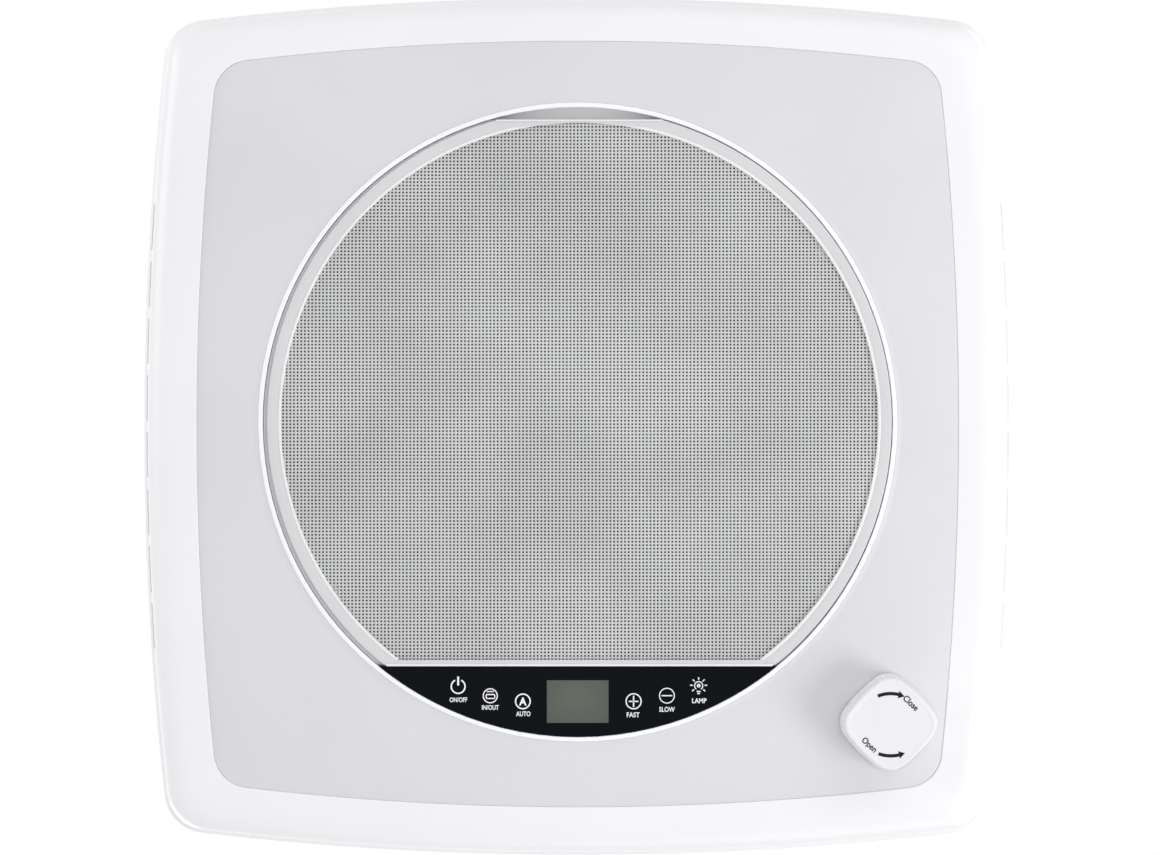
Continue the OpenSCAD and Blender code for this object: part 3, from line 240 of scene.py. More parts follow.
def dress(name, mesh, material, body, smooth=35.0):
    """Makes an object of a mesh in metres, welds it, turns its faces outwards and shades it."""
    bm = bmesh.new()
    bm.from_mesh(mesh)
    bmesh.ops.remove_doubles(bm, verts=bm.verts, dist=1e-7)
    bmesh.ops.recalc_face_normals(bm, faces=bm.faces)
    bm.to_mesh(mesh)
    bm.free()
    mesh.shade_smooth()
    mesh.set_sharp_from_angle(angle=math.radians(smooth))
    obj = bpy.data.objects.new(name, mesh)
    bpy.context.scene.collection.objects.link(obj)
    obj.data.materials.append(material)
    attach(obj, body)
    return obj


def loft_data(rings, closed=False, caps=False):
    n, m = len(rings), len(rings[0])
    verts = [p for ring in rings for p in ring]
    faces = []
    for i in range(n if closed else n - 1):
        u = (i + 1) % n
        for j in range(m):
            v = (j + 1) % m
            faces.append((i * m + j, i * m + v, u * m + v, u * m + j))
    if caps:
        faces.append(tuple(range(m)))
        faces.append(tuple((n - 1) * m + j for j in range(m - 1, -1, -1)))
    return verts, faces


def join_data(*parts):
    verts, faces = [], []
    for vs, fs in parts:
        k = len(verts)
        verts += list(vs)
        faces += [tuple(i + k for i in f) for f in fs]
    return verts, faces


def box_data(lo, hi, r=0.0):
    """A block; r rounds its four upright edges."""
    if r <= 0:
        outline = [(hi[0], lo[1]), (hi[0], hi[1]), (lo[0], hi[1]), (lo[0], lo[1])]
    else:
        outline = []
        x0, x1, y0, y1 = lo[0] + r, hi[0] - r, lo[1] + r, hi[1] - r
        for cx, cy, a in ((x1, y1, 0), (x0, y1, 90), (x0, y0, 180), (x1, y0, 270)):
            outline += circle(r, [math.radians(a + 15 * k) for k in range(7)], cx, cy)
    return loft_data([at(outline, lo[2]), at(outline, hi[2])], caps=True)


def cylinder_data(r, z0, z1, cx=0.0, cy=0.0, n=32, r2=None):
    angles = [2 * math.pi * k / n for k in range(n)]
    top = r if r2 is None else r2
    return loft_data([at(circle(r, angles, cx, cy), z0), at(circle(top, angles, cx, cy), z1)], caps=True)


def moved(data, matrix):
    verts, faces = data
    return [tuple(matrix @ Vector(v)) for v in verts], faces


def cut(obj, data):
    """Cuts a shape, in millimetres, out of obj and keeps the result in its mesh."""
    mesh = bpy.data.meshes.new("cutter")
    mesh.from_pydata([(x * MM, y * MM, z * MM) for x, y, z in data[0]], [], data[1])
    bm = bmesh.new()
    bm.from_mesh(mesh)
    bmesh.ops.recalc_face_normals(bm, faces=bm.faces)
    bm.to_mesh(mesh)
    bm.free()
    cutter = bpy.data.objects.new("cutter", mesh)
    bpy.context.scene.collection.objects.link(cutter)
    mod = obj.modifiers.new("cut", "BOOLEAN")
    mod.operation = "DIFFERENCE"
    mod.solver = "EXACT"
    mod.object = cutter
    bpy.context.view_layer.update()
    result = bpy.data.meshes.new_from_object(obj.evaluated_get(bpy.context.evaluated_depsgraph_get()))
    obj.modifiers.remove(mod)
    obj.data = result
    bpy.data.objects.remove(cutter)
    result.shade_smooth()
    result.set_sharp_from_angle(angle=math.radians(35))


# materials

def node_material(name):
    mat = bpy.data.materials.new(name)
    mat.use_nodes = True
    tree = mat.node_tree
    bsdf = tree.nodes["Principled BSDF"]
    coords = tree.nodes.new("ShaderNodeTexCoord")
    return mat, tree, bsdf, coords


def noise(tree, coords, scale, detail=2.0, stretch=None):
    tex = tree.nodes.new("ShaderNodeTexNoise")
    tex.inputs["Scale"].default_value = scale
    tex.inputs["Detail"].default_value = detail
    if stretch is None:
        tree.links.new(coords.outputs["Object"], tex.inputs["Vector"])
    else:
        mapping = tree.nodes.new("ShaderNodeMapping")
        mapping.inputs["Scale"].default_value = stretch
        tree.links.new(coords.outputs["Object"], mapping.inputs["Vector"])
        tree.links.new(mapping.outputs["Vector"], tex.inputs["Vector"])
    return tex.outputs["Fac"]


def ramp(tree, fac, stops):
    node = tree.nodes.new("ShaderNodeValToRGB")
    elements = node.color_ramp.elements
    elements[0].position, elements[0].color = stops[0][0], (*stops[0][1], 1)
    elements[1].position, elements[1].color = stops[-1][0], (*stops[-1][1], 1)
    for position, color in stops[1:-1]:
        elements.new(position).color = (*color, 1)
    tree.links.new(fac, node.inputs["Fac"])
    return node.outputs["Color"]


def spread(tree, fac, low, high):
    node = tree.nodes.new("ShaderNodeMapRange")
    node.inputs["From Min"].default_value = 0.3
    node.inputs["From Max"].default_value = 0.7
    node.inputs["To Min"].default_value = low
    node.inputs["To Max"].default_value = high
    tree.links.new(fac, node.inputs["Value"])
    return node.outputs["Result"]


def bump(tree, bsdf, height, strength, distance):
    node = tree.nodes.new("ShaderNodeBump")
    node.inputs["Strength"].default_value = strength
    node.inputs["Distance"].default_value = distance
    tree.links.new(height, node.inputs["Height"])
    tree.links.new(node.outputs["Normal"], bsdf.inputs["Normal"])


def moulded(name, color, rough, grain=900.0, depth=0.00002, tone=0.015, specular=0.5):
    """Moulded plastic or paint: close tones that drift over the surface, uneven gloss, a fine grain."""
    mat, tree, bsdf, coords = node_material(name)
    low = tuple(c * (1 - tone) for c in color)
    high = tuple(min(1.0, c * (1 + tone)) for c in color)
    drift = noise(tree, coords, DRIFT_SCALE, 3.0)
    tree.links.new(ramp(tree, drift, [(0.35, low), (0.65, high)]), bsdf.inputs["Base Color"])
    gloss = spread(tree, noise(tree, coords, GLOSS_SCALE, 3.0), rough * 0.9, rough * 1.1)
    tree.links.new(gloss, bsdf.inputs["Roughness"])
    bump(tree, bsdf, noise(tree, coords, grain, 2.0), 0.5, depth)
    bsdf.inputs["Specular IOR Level"].default_value = specular
    return mat


def metal(name, color, rough, stretch=(1, 1, 1), scale=500.0, depth=0.00001):
    """Metal with drawn or turned marks along the unstretched axis."""
    mat, tree, bsdf, coords = node_material(name)
    marks = noise(tree, coords, scale, 3.0, stretch)
    low = tuple(c * 0.88 for c in color)
    tree.links.new(ramp(tree, marks, [(0.3, low), (0.7, color)]), bsdf.inputs["Base Color"])
    tree.links.new(spread(tree, marks, rough * 0.8, rough * 1.25), bsdf.inputs["Roughness"])
    bump(tree, bsdf, marks, 0.35, depth)
    bsdf.inputs["Metallic"].default_value = 1.0
    return mat


WHITE = moulded("white_satin", (0.868, 0.863, 0.888), 0.34, grain=1400.0, depth=0.000004, tone=0.008)
# painted highlight: a whiter copy of the trim's white plastic, for the ring round the opening
RING_HIGHLIGHT_WHITE = moulded("ring_painted_highlight_white", (0.925, 0.920, 0.940), 0.30, grain=1400.0, depth=0.000004, tone=0.008)
PANEL = moulded("panel_matt_grey", (0.700, 0.695, 0.720), 0.55, grain=2600.0, depth=0.00002)
SCREEN_WHITE = moulded("screen_white", (0.84, 0.84, 0.85), 0.38, grain=1400.0, depth=0.000004)
SCREEN_GREY = moulded("screen_grey", (0.672, 0.669, 0.687), 0.45, grain=1800.0, depth=0.00001)
# painted shade: the ledge is part of the white trim, coloured grey to darken the pocket above the screen's
# top edge
LEDGE_SHADE_GREY = moulded("ledge_painted_shade_grey", (0.675, 0.675, 0.687), 0.5, grain=1800.0, depth=0.00001)
KNOB_WHITE = moulded("knob_white", (0.800, 0.795, 0.818), 0.36, grain=1600.0, depth=0.000006)
WEATHER_WHITE = moulded("weather_white", (0.86, 0.86, 0.85), 0.48, grain=700.0, depth=0.00003, tone=0.02)
SMOKE = moulded(
    "smoke_lid", (0.030, 0.030, 0.033), 0.42,
    grain=600.0, depth=0.00003, tone=0.035, specular=0.4,
)
# black plastic made darker than moulded black so that the fan seen through the net stays dark: partly the
# plastic's own black, partly painted shade
BLACK_PLASTIC = moulded(
    "black_plastic", (0.012, 0.012, 0.013), 0.55,
    grain=900.0, depth=0.00003, tone=0.15, specular=0.25,
)
MOTOR_PAINT = moulded("motor_paint", (0.02, 0.02, 0.022), 0.34, grain=500.0, depth=0.00002, tone=0.15)
RUBBER = moulded("rubber", (0.02, 0.02, 0.02), 0.75, grain=700.0, depth=0.00004, tone=0.2, specular=0.3)
NYLON = moulded("nylon", (0.80, 0.78, 0.72), 0.42, grain=800.0, depth=0.00001, tone=0.03)
NET_GREY = moulded("net_grey", (0.592, 0.602, 0.599), 0.55, grain=2500.0, depth=0.00004, tone=0.06)
OPAL = moulded("opal_lens", (0.80, 0.80, 0.80), 0.3, grain=1200.0, depth=0.000005)
BOARD = moulded("board_green", (0.02, 0.11, 0.045), 0.35, grain=400.0, depth=0.00003, tone=0.2)
BOARD_WHITE = moulded("board_white", (0.78, 0.78, 0.76), 0.35, grain=400.0, depth=0.00003, tone=0.05)
PRINT_WHITE = moulded("print_white", (0.88, 0.88, 0.89), 0.5, grain=3000.0, depth=0.000005)
PRINT_BLACK = moulded(
    "print_black", (0.010, 0.010, 0.012), 0.5,
    grain=3000.0, depth=0.000005, tone=0.1, specular=0.15,
)
GLASS_BLACK = moulded(
    "glass_black", (0.0022, 0.0038, 0.0058), 0.09,
    grain=40.0, depth=0.000002, tone=0.1, specular=0.06,
)
STEEL = metal("zinc_steel", (0.60, 0.61, 0.63), 0.32)
# painted shade: steel coloured near-black so that the inside seen through the net stays dark
SHADE_DARK_STEEL = metal("steel_painted_shade_dark", (0.03, 0.03, 0.032), 0.5)
IRON = metal("iron", (0.26, 0.25, 0.24), 0.5, scale=900.0, depth=0.00003)
ALUMINIUM = metal("drawn_aluminium", (0.78, 0.79, 0.80), 0.3, stretch=(1, 0.03, 1), scale=900.0)


def display_material():
    """Unlit display: grey-green film, a little lighter in its middle, with a faint fine cell pattern."""
    mat, tree, bsdf, coords = node_material("display_film")
    gradient = tree.nodes.new("ShaderNodeTexGradient")
    gradient.gradient_type = "SPHERICAL"
    mapping = tree.nodes.new("ShaderNodeMapping")
    mapping.vector_type = "TEXTURE"
    mapping.inputs["Location"].default_value = (0.001, -0.138, -0.070)
    mapping.inputs["Scale"].default_value = (0.026, 0.021, 1.0)
    tree.links.new(coords.outputs["Object"], mapping.inputs["Vector"])
    tree.links.new(mapping.outputs["Vector"], gradient.inputs["Vector"])
    tree.links.new(
        ramp(tree, gradient.outputs["Fac"], [(0.0, (0.080, 0.090, 0.080)), (0.8, (0.118, 0.124, 0.108))]),
        bsdf.inputs["Base Color"],
    )
    bsdf.inputs["Roughness"].default_value = 0.28
    bsdf.inputs["Specular IOR Level"].default_value = 0.2
    bump(tree, bsdf, noise(tree, coords, 1800.0, 1.0), 0.3, 0.00001)
    return mat


DISPLAY = display_material()

by_slot = {
    "white_gloss": WHITE, "white_matte": WEATHER_WHITE, "panel_grey": PANEL, "net_grey": NET_GREY,
    "black_plastic": BLACK_PLASTIC, "smoke_plastic": SMOKE, "nylon": NYLON, "rubber": RUBBER,
    "black_glass": GLASS_BLACK, "display_grey": DISPLAY, "lamp_opal": OPAL, "motor_paint": MOTOR_PAINT,
    "board_green": BOARD, "board_white": BOARD_WHITE, "track_aluminium": ALUMINIUM, "iron": IRON,
    "steel": STEEL,
}
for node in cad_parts.values():
    for slot in node.material_slots:
        slot.material = by_slot[slot.material.name.split(".")[0]]
# the fan shaft and impeller nut take the near-black steel: painted shade inside the duct
for name in ("impeller_nut", "fan_shaft"):
    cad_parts[name].material_slots[0].material = SHADE_DARK_STEEL


# ceiling trim

def trim_outline(d, z):
    points = bowed(TRIM_A - d, TRIM_B - d, SIDE_BOW - d, END_BOW - d, TRIM_R - 0.08 * d)
    return at(points, z, dy=-TRIM_SHIFT)


def recess_outline(g, z):
    a, b = PANEL_A + PANEL_GAP + g, PANEL_B + PANEL_GAP + g
    return at(bowed(a, b, PANEL_BOW + g, PANEL_END_BOW + g, PANEL_R + g / 2), z, dy=-PANEL_SHIFT)


RAYS = [math.atan2(y, x) for x, y, z in recess_outline(0, 0)]


def round_ring(r, z):
    return at(circle(r, RAYS), z)


def make_trim():
    steps = 14
    round_h = (CEILING_Z - FACE_Z) - BAND_H
    turns = [math.radians(90 * i / steps) for i in range(steps + 1)]
    edge = 0.5
    tight = SEAM - PANEL_GAP
    rings = [recess_outline(tight, FLOOR_Z), recess_outline(tight, FACE_Z + edge)]
    rings += [
        recess_outline(tight + edge * (1 - math.cos(t)), FACE_Z + edge * (1 - math.sin(t)))
        for t in turns[2::2]
    ]
    rings += [
        trim_outline(BAND_DRAFT + ROUND_W * (1 - math.sin(t)), FACE_Z + round_h * (1 - math.cos(t)))
        for t in turns
    ]
    rings += [trim_outline(LIP_W, CEILING_Z - LIP_H), trim_outline(0.3, CEILING_Z - 0.75)]
    rings += [trim_outline(0.1, CEILING_Z - 0.45), trim_outline(0.4, CEILING_Z)]
    rings += [trim_outline(TRIM_WALL, CEILING_Z)]
    rings += [
        trim_outline(
            BAND_DRAFT + TRIM_WALL + (ROUND_W - TRIM_WALL) * (1 - math.sin(t)),
            FACE_Z + TRIM_WALL + (round_h - TRIM_WALL) * (1 - math.cos(t)),
        )
        for t in reversed(turns[1:])
    ]
    rings += [recess_outline(TRIM_WALL, FACE_Z + TRIM_WALL), recess_outline(TRIM_WALL, FLOOR_Z + FLOOR_T)]
    lip, slope = 0.6, 1.0
    rings += [
        round_ring(RING_R + COLLAR_WALL, FLOOR_Z + FLOOR_T),
        round_ring(RING_R + COLLAR_WALL, COLLAR_TOP),
        round_ring(RING_R, COLLAR_TOP),
        round_ring(RING_R, RING_Z + lip),
    ]
    rings += [
        round_ring(RING_R + lip * (1 - math.cos(t)), RING_Z + lip * (1 - math.sin(t)))
        for t in turns[2::2]
    ]
    rings += [
        round_ring(RING_R + RING_W - slope * (1 - math.sin(t)), RING_Z + lip * (1 - math.cos(t)))
        for t in turns[2::2]
    ]
    rings += [round_ring(RING_R + RING_W, FLOOR_Z)]
    skin = loft_data(rings, closed=True)
    obj = mesh_piece("trim_shell", *skin, WHITE, "root", smooth=28)

    slots = []
    lamp_z = CEILING_Z - BAND_H / 2
    for side in (-1, 1):
        for i in range(SLOT_N):
            y = (i - (SLOT_N - 1) / 2) * SLOT_PITCH - TRIM_SHIFT
            x = side * TRIM_A
            lo = (x - SLOT_CUT, y - SLOT_LEN / 2, lamp_z - SLOT_H / 2)
            hi = (x + SLOT_CUT, y + SLOT_LEN / 2, lamp_z + SLOT_H / 2)
            slots.append(box_data(lo, hi))
    cut(obj, join_data(*slots))
    # the ring's faces of the trim shell take the whiter copy: a painted highlight on the ring
    obj.data.materials.append(RING_HIGHLIGHT_WHITE)
    for face in obj.data.polygons:
        place = face.center / MM
        if math.hypot(place.x, place.y) < RING_R + RING_W + 0.3 and place.z < FLOOR_Z:
            face.material_index = 1
    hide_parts("trim")


def make_ledge():
    """The ledge behind the screen, with a tab and a countersunk hole at each trim screw."""
    turn = math.radians(TRIM_SCREW_ANGLE)
    far_x, far_y = TRIM_SCREW_AT * math.cos(turn), TRIM_SCREW_AT * math.sin(turn)
    tabs = [(sx * far_x, sy * far_y) for sx in (-1, 1) for sy in (-1, 1)]
    angles = [2 * math.pi * k / 720 for k in range(720)]

    def inner(t):
        rho = LEDGE_R
        for cx, cy in tabs:
            b = cx * math.cos(t) + cy * math.sin(t)
            disc = b * b - (cx * cx + cy * cy - TAB_R ** 2)
            if b > 0 and disc > 0:
                rho = min(rho, b - math.sqrt(disc))
        return rho

    edge = [(inner(t) * math.cos(t), inner(t) * math.sin(t)) for t in angles]
    outer = circle(RING_R + 0.2, angles)
    top = LEDGE_Z + LEDGE_T
    rings = [at(edge, LEDGE_Z), at(edge, top), at(outer, top), at(outer, LEDGE_Z)]
    # the ledge's grey is painted shade on the trim's white plastic
    obj = mesh_piece("trim_ledge", *loft_data(rings, closed=True), LEDGE_SHADE_GREY, "root")
    cone = (SCREW_HEAD_R, LEDGE_Z - 0.3, LEDGE_Z + 1.7)
    cut(obj, join_data(*[cylinder_data(*cone, cx, cy, r2=SCREW_HOLE_R) for cx, cy in tabs]))
    cut(obj, join_data(*[cylinder_data(SCREW_HOLE_R, LEDGE_Z - 1, LEDGE_Z + 4, cx, cy) for cx, cy in tabs]))
    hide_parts("trim")


def make_panel():
    edge = 0.15

    def outline(g, z):
        points = bowed(PANEL_A + g, PANEL_B + g, PANEL_BOW + g, PANEL_END_BOW + g, PANEL_R + g / 2)
        return at(points, z, dy=-PANEL_SHIFT)

    rings = [outline(0, PANEL_Z + PANEL_T), outline(0, PANEL_Z + edge)]
    rings += [outline(-0.3 * edge, PANEL_Z + 0.3 * edge), outline(-edge, PANEL_Z)]
    inner = RING_R + RING_W + SEAM
    rise = [(3.0, 0), (2.4, 0.06), (1.8, 0.2), (1.2, 0.42), (0.6, 0.68), (0.05, 0.85), (0, 0.8)]
    rings += [round_ring(inner + d, PANEL_Z - h) for d, h in rise]
    rings += [round_ring(inner, PANEL_Z + PANEL_T)]
    obj = mesh_piece("panel_inlay", *loft_data(rings, closed=True), PANEL, "root")
    cut(obj, cylinder_data(BUSHING_R, PANEL_Z - 5, PANEL_Z + 5, CRANK_X, CRANK_Y, n=48))
    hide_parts("face_panel")


# screen

def ray_set(*corners):
    """Evenly spread rays with the exact ones through the given corners."""
    angles = [2 * math.pi * k / 480 for k in range(480)]
    for x, y in corners:
        t = math.atan2(y, x) % (2 * math.pi)
        i = min(range(len(angles)), key=lambda k: abs(angles[k] - t))
        angles[i] = t
    return sorted(angles)


def make_screen():
    top, bottom, low = SCREEN_TOP - SCREEN_Y, SCREEN_BOTTOM + SCREEN_Y, MESH_BOTTOM + SCREEN_Y
    corners = []
    for r, c in ((SCREEN_R, bottom), (SCREEN_R, -top), (MESH_R, low)):
        x = math.sqrt(r * r - c * c)
        corners += [(x, -c), (-x, -c)]
    rays = ray_set(*corners)

    def outer(d, z):
        return at(d_shape(SCREEN_R - d, bottom - d, top - d, rays), z, dx=SCREEN_X, dy=SCREEN_Y)

    def step(z):
        """The step round the flange that fills the ring, STEP_GAP short of it."""
        out = []
        for t in rays:
            u = SCREEN_X * math.cos(t) + SCREEN_Y * math.sin(t)
            rho = math.sqrt((RING_R - STEP_GAP) ** 2 + u * u - SCREEN_X ** 2 - SCREEN_Y ** 2) - u
            if math.sin(t) < 0:
                rho = min(rho, bottom / -math.sin(t))
            if math.sin(t) > 0:
                rho = min(rho, top / math.sin(t))
            out.append((SCREEN_X + rho * math.cos(t), SCREEN_Y + rho * math.sin(t), z))
        return out

    def on_low(t):
        """Whether a ray meets the straight lower edge of the mesh."""
        return math.sin(t) < 0 and low / -math.sin(t) < MESH_R + 0.001

    def fade(t):
        """0 at the screen's top and along its lower edge, where there is no bead, 1 round the rest."""
        off = abs(math.degrees(t) - 90)
        return 0 if on_low(t) else min(1, max(0, (off - BEAD_FADE_FROM) / BEAD_FADE_OVER))

    def inner(d, z, base=None, low_z=None):
        points = d_shape(MESH_R, low, NO_CUT, rays)
        wide = d_shape(MESH_R + d, low + d, NO_CUT, rays)
        out = []
        for t, (x, y), (u, v) in zip(rays, points, wide):
            k = fade(t)
            level = z if base is None else base + k * (z - base)
            if low_z is not None and on_low(t):
                level = low_z
            out.append((x + k * (u - x) + SCREEN_X, y + k * (v - y) + SCREEN_Y, level))
        return out

    base = SCREEN_Z + SCREEN_FALL + 0.2
    bead_top = SCREEN_Z + SCREEN_FALL - BEAD_H
    bar_z = SCREEN_Z - 0.6
    flange = [
        step(SCREEN_BACK_Z), step(STEP_Z), outer(0, STEP_Z - 0.01),
        outer(0, SCREEN_Z + 0.5), outer(0.15, SCREEN_Z + 0.15), outer(0.5, SCREEN_Z),
        inner(BEAD_W - 0.05, SCREEN_Z + SCREEN_FALL, low_z=SCREEN_Z), inner(BEAD_W - 0.05, SCREEN_BACK_Z),
    ]
    bead = [inner(BEAD_W, SCREEN_Z + SCREEN_FALL, base)]
    bead += [
        inner(share * BEAD_W, bead_top + h, base) for share, h in (
            (0.93, 0.25), (0.82, 0.08), (0.62, 0), (0.36, 0), (0.16, 0.1), (0.02, 0.35), (0, 0.9),
        )
    ]
    bead += [inner(0, SCREEN_BACK_Z - 0.1, base), inner(BEAD_W, SCREEN_BACK_Z - 0.1, base)]
    for name, rings, material in (
        ("screen_flange", flange, SCREEN_GREY), ("screen_bead", bead, SCREEN_WHITE)
    ):
        obj = mesh_piece(name, *loft_data(rings, closed=True), material, "screen", smooth=50)
        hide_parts("screen_frame")

    half_top = math.sqrt(SCREEN_R ** 2 - top ** 2) + 1.5
    half_low = math.sqrt(SCREEN_R ** 2 - bottom ** 2) - 1.0
    bars = []
    for lo, hi, half in (
        (-SCREEN_BOTTOM - 0.4, -SCREEN_BOTTOM + 0.7, half_low),
        (SCREEN_TOP - 0.8, SCREEN_TOP - 0.05, half_top),
    ):
        profile = [
            (lo, SCREEN_Z + 0.2), (lo, bar_z + 0.25), (lo + 0.2, bar_z),
            (hi - 0.2, bar_z), (hi, bar_z + 0.25), (hi, SCREEN_Z + 0.2),
        ]
        ends = [[(x + SCREEN_X, y, z) for y, z in profile] for x in (-half, half)]
        bars.append(loft_data(ends, caps=True))
    bar = mesh_piece("screen_edge_bars", *join_data(*bars), SCREEN_WHITE, "screen")
    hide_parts("screen_frame")


def make_net():
    """Plastic fly net: strands one above the other at their crossings, each a flattened rod."""
    reach = MESH_R + NET_MARGIN
    low = MESH_BOTTOM + NET_MARGIN

    def rod(p, q, across, w, z):
        """A rod of six sides from p to q, w to each side of its axis in the direction across."""
        turns = [2 * math.pi * k / 6 for k in range(6)]
        section = [(w * math.cos(t), STRAND_H * math.sin(t)) for t in turns]
        rings = [[(x + across[0] * u, y + across[1] * u, z + v) for u, v in section] for x, y in (p, q)]
        return loft_data(rings, caps=True)

    strands = []
    count = int(reach / NET_PITCH_X)
    for i in range(-count, count + 1):
        x = i * NET_PITCH_X
        y = math.sqrt(max(0, reach * reach - x * x))
        if y > 1:
            p, q = (SCREEN_X + x, -min(y, low)), (SCREEN_X + x, y)
            strands.append(rod(p, q, (1, 0), STRAND_LONG_W, NET_Z - STRAND_OFF))
    warp = join_data(*strands)
    strands = []
    rows = int((reach + low) / NET_PITCH_Y)
    for i in range(rows + 1):
        y = -low + NET_FIRST_ROW + i * NET_PITCH_Y
        if abs(y) >= reach:
            continue
        x = math.sqrt(reach * reach - y * y)
        p, q = (SCREEN_X - x, y), (SCREEN_X + x, y)
        strands.append(rod(p, q, (0, 1), STRAND_CROSS_W, NET_Z + STRAND_OFF))
    weft = join_data(*strands)
    for name, data in (("net_strands_long", warp), ("net_strands_cross", weft)):
        obj = mesh_piece(name, *data, NET_GREY, "screen", smooth=80)
        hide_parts("screen_net")


# printed signs

def flat_data(outline, z0, z1):
    return loft_data([at(outline, z0), at(outline, z1)], caps=True)


def arc_data(cx, cy, r, width, a0, a1, z0, z1, n=48):
    """A flat arc; angles in degrees, counter-clockwise in X, Y."""
    angles = [math.radians(a0 + (a1 - a0) * k / n) for k in range(n + 1)]
    whole = abs(a1 - a0) >= 360
    if whole:
        angles = angles[:-1]
    outer, inner = circle(r + width / 2, angles, cx, cy), circle(r - width / 2, angles, cx, cy)
    if whole:
        return loft_data([at(outer, z0), at(outer, z1), at(inner, z1), at(inner, z0)], closed=True)
    return flat_data(outer + inner[::-1], z0, z1)


def pill_data(cx, cy, half_w, half_h, r, width, z0, z1):
    """The outline of a small box with round corners, drawn with a flat line."""
    def loop(g):
        points = []
        for sx, sy, a in ((1, 1, 0), (-1, 1, 90), (-1, -1, 180), (1, -1, 270)):
            turns = [math.radians(a + 15 * k) for k in range(7)]
            points += circle(r + g, turns, cx + sx * (half_w - r), cy + sy * (half_h - r))
        return points

    outer, inner = loop(width / 2), loop(-width / 2)
    return loft_data([at(outer, z0), at(outer, z1), at(inner, z1), at(inner, z0)], closed=True)


def bar_data(x0, y0, x1, y1, width, z0, z1):
    dx, dy = x1 - x0, y1 - y0
    d = math.hypot(dx, dy)
    nx, ny = -dy / d * width / 2, dx / d * width / 2
    corners = [(x0 + nx, y0 + ny), (x0 - nx, y0 - ny), (x1 - nx, y1 - ny), (x1 + nx, y1 + ny)]
    return flat_data(corners, z0, z1)


def word_data(text, cx, cy, z, width, height, turn=0.0, bold=0.0, thick=0.03):
    """Flat letters that read from below, centred on cx, cy and fitted to width and height."""
    curve = bpy.data.curves.new("word", "FONT")
    curve.body = text
    curve.align_x = "CENTER"
    curve.align_y = "CENTER"
    curve.offset = bold
    curve.extrude = 0.05
    curve.resolution_u = 4
    obj = bpy.data.objects.new("word", curve)
    bpy.context.scene.collection.objects.link(obj)
    bpy.context.view_layer.update()
    mesh = bpy.data.meshes.new_from_object(obj.evaluated_get(bpy.context.evaluated_depsgraph_get()))
    bpy.data.objects.remove(obj)
    xs = [v.co.x for v in mesh.vertices]
    ys = [v.co.y for v in mesh.vertices]
    kx, ky = width / (max(xs) - min(xs)), height / (max(ys) - min(ys))
    mx, my = (max(xs) + min(xs)) / 2, (max(ys) + min(ys)) / 2
    c, s = math.cos(math.radians(turn)), math.sin(math.radians(turn))
    verts = []
    for v in mesh.vertices:
        x, y = (v.co.x - mx) * kx, (v.co.y - my) * ky
        u, w = x * c - y * s, x * s + y * c
        verts.append((cx - u, cy + w, z + (thick if v.co.z > 0 else -thick)))
    faces = [tuple(p.vertices) for p in mesh.polygons]
    return verts, faces


def px(x, y):
    """A point of the photograph on the face's plane, in millimetres."""
    return -(x - AXIS_PX) * MM_PER_PX, -(y - AXIS_PY) * MM_PER_PX


def make_signs():
    z = GLASS_Z
    z0, z1 = z - 0.03, z + 0.05
    parts = []

    def ring(x, y, r, w):
        parts.append(arc_data(*px(x, y), r * MM_PER_PX, w * MM_PER_PX, 0, 360, z0, z1))

    def bar(xa, ya, xb, yb, w):
        parts.append(bar_data(*px(xa, ya), *px(xb, yb), w * MM_PER_PX, z0, z1))

    def word(text, bold=0.02):
        x, y, w, h = SIGN_WORDS[text]
        parts.append(word_data(text, *px(x, y), z, w * MM_PER_PX, h * MM_PER_PX, bold=bold))

    x, y = POWER_SIGN
    parts.append(arc_data(*px(x, y), 3.45, 0.72, 90 + 26, 90 + 334, z0, z1))
    bar(x, y - 10, x, y - 1, 1.9)
    word("ON/OFF")

    x, y = FLOW_SIGN
    ring(x, y, 7.0, 1.1)
    bar(x - 3.6, y - 4.2, x + 3.6, y - 4.2, 1.0)
    parts.append(pill_data(*px(x + 0.2, y + 0.7), 2.15, 1.0, 0.6, 0.55, z0, z1))
    word("IN/OUT")

    x, y = AUTO_SIGN
    ring(x, y, 7.3, 1.35)
    word("A", bold=0.035)
    word("AUTO")

    x, y = FAST_SIGN
    ring(x, y, 7.5, 1.2)
    bar(x - 4.8, y + 0.1, x + 4.8, y + 0.1, 1.2)
    bar(x, y - 5.5, x, y + 5.7, 1.3)
    word("FAST")

    x, y = SLOW_SIGN
    ring(x, y, 7.4, 1.0)
    bar(x - 5.3, y, x + 5.3, y, 1.15)
    word("SLOW")

    x, y = LAMP_SIGN
    parts.append(arc_data(*px(x, y), 2.05, 0.5, -55, 235, z0, z1))
    ring(x, y, 1.2, 1.3)
    for k in range(7):
        a = math.radians(-40 + 43.3 * k)
        c, s = math.cos(a), math.sin(a)
        bar(x + 5.9 * c, y - 5.9 * s, x + 8.5 * c, y - 8.5 * s, 1.15)
    bar(x - 1.9, y + 5.8, x + 1.9, y + 5.8, 1.2)
    bar(x - 1.3, y + 7.8, x + 1.3, y + 7.8, 1.2)
    word("LAMP")

    obj = mesh_piece("glass_signs", *join_data(*parts), PRINT_WHITE, "root")


# crank knob

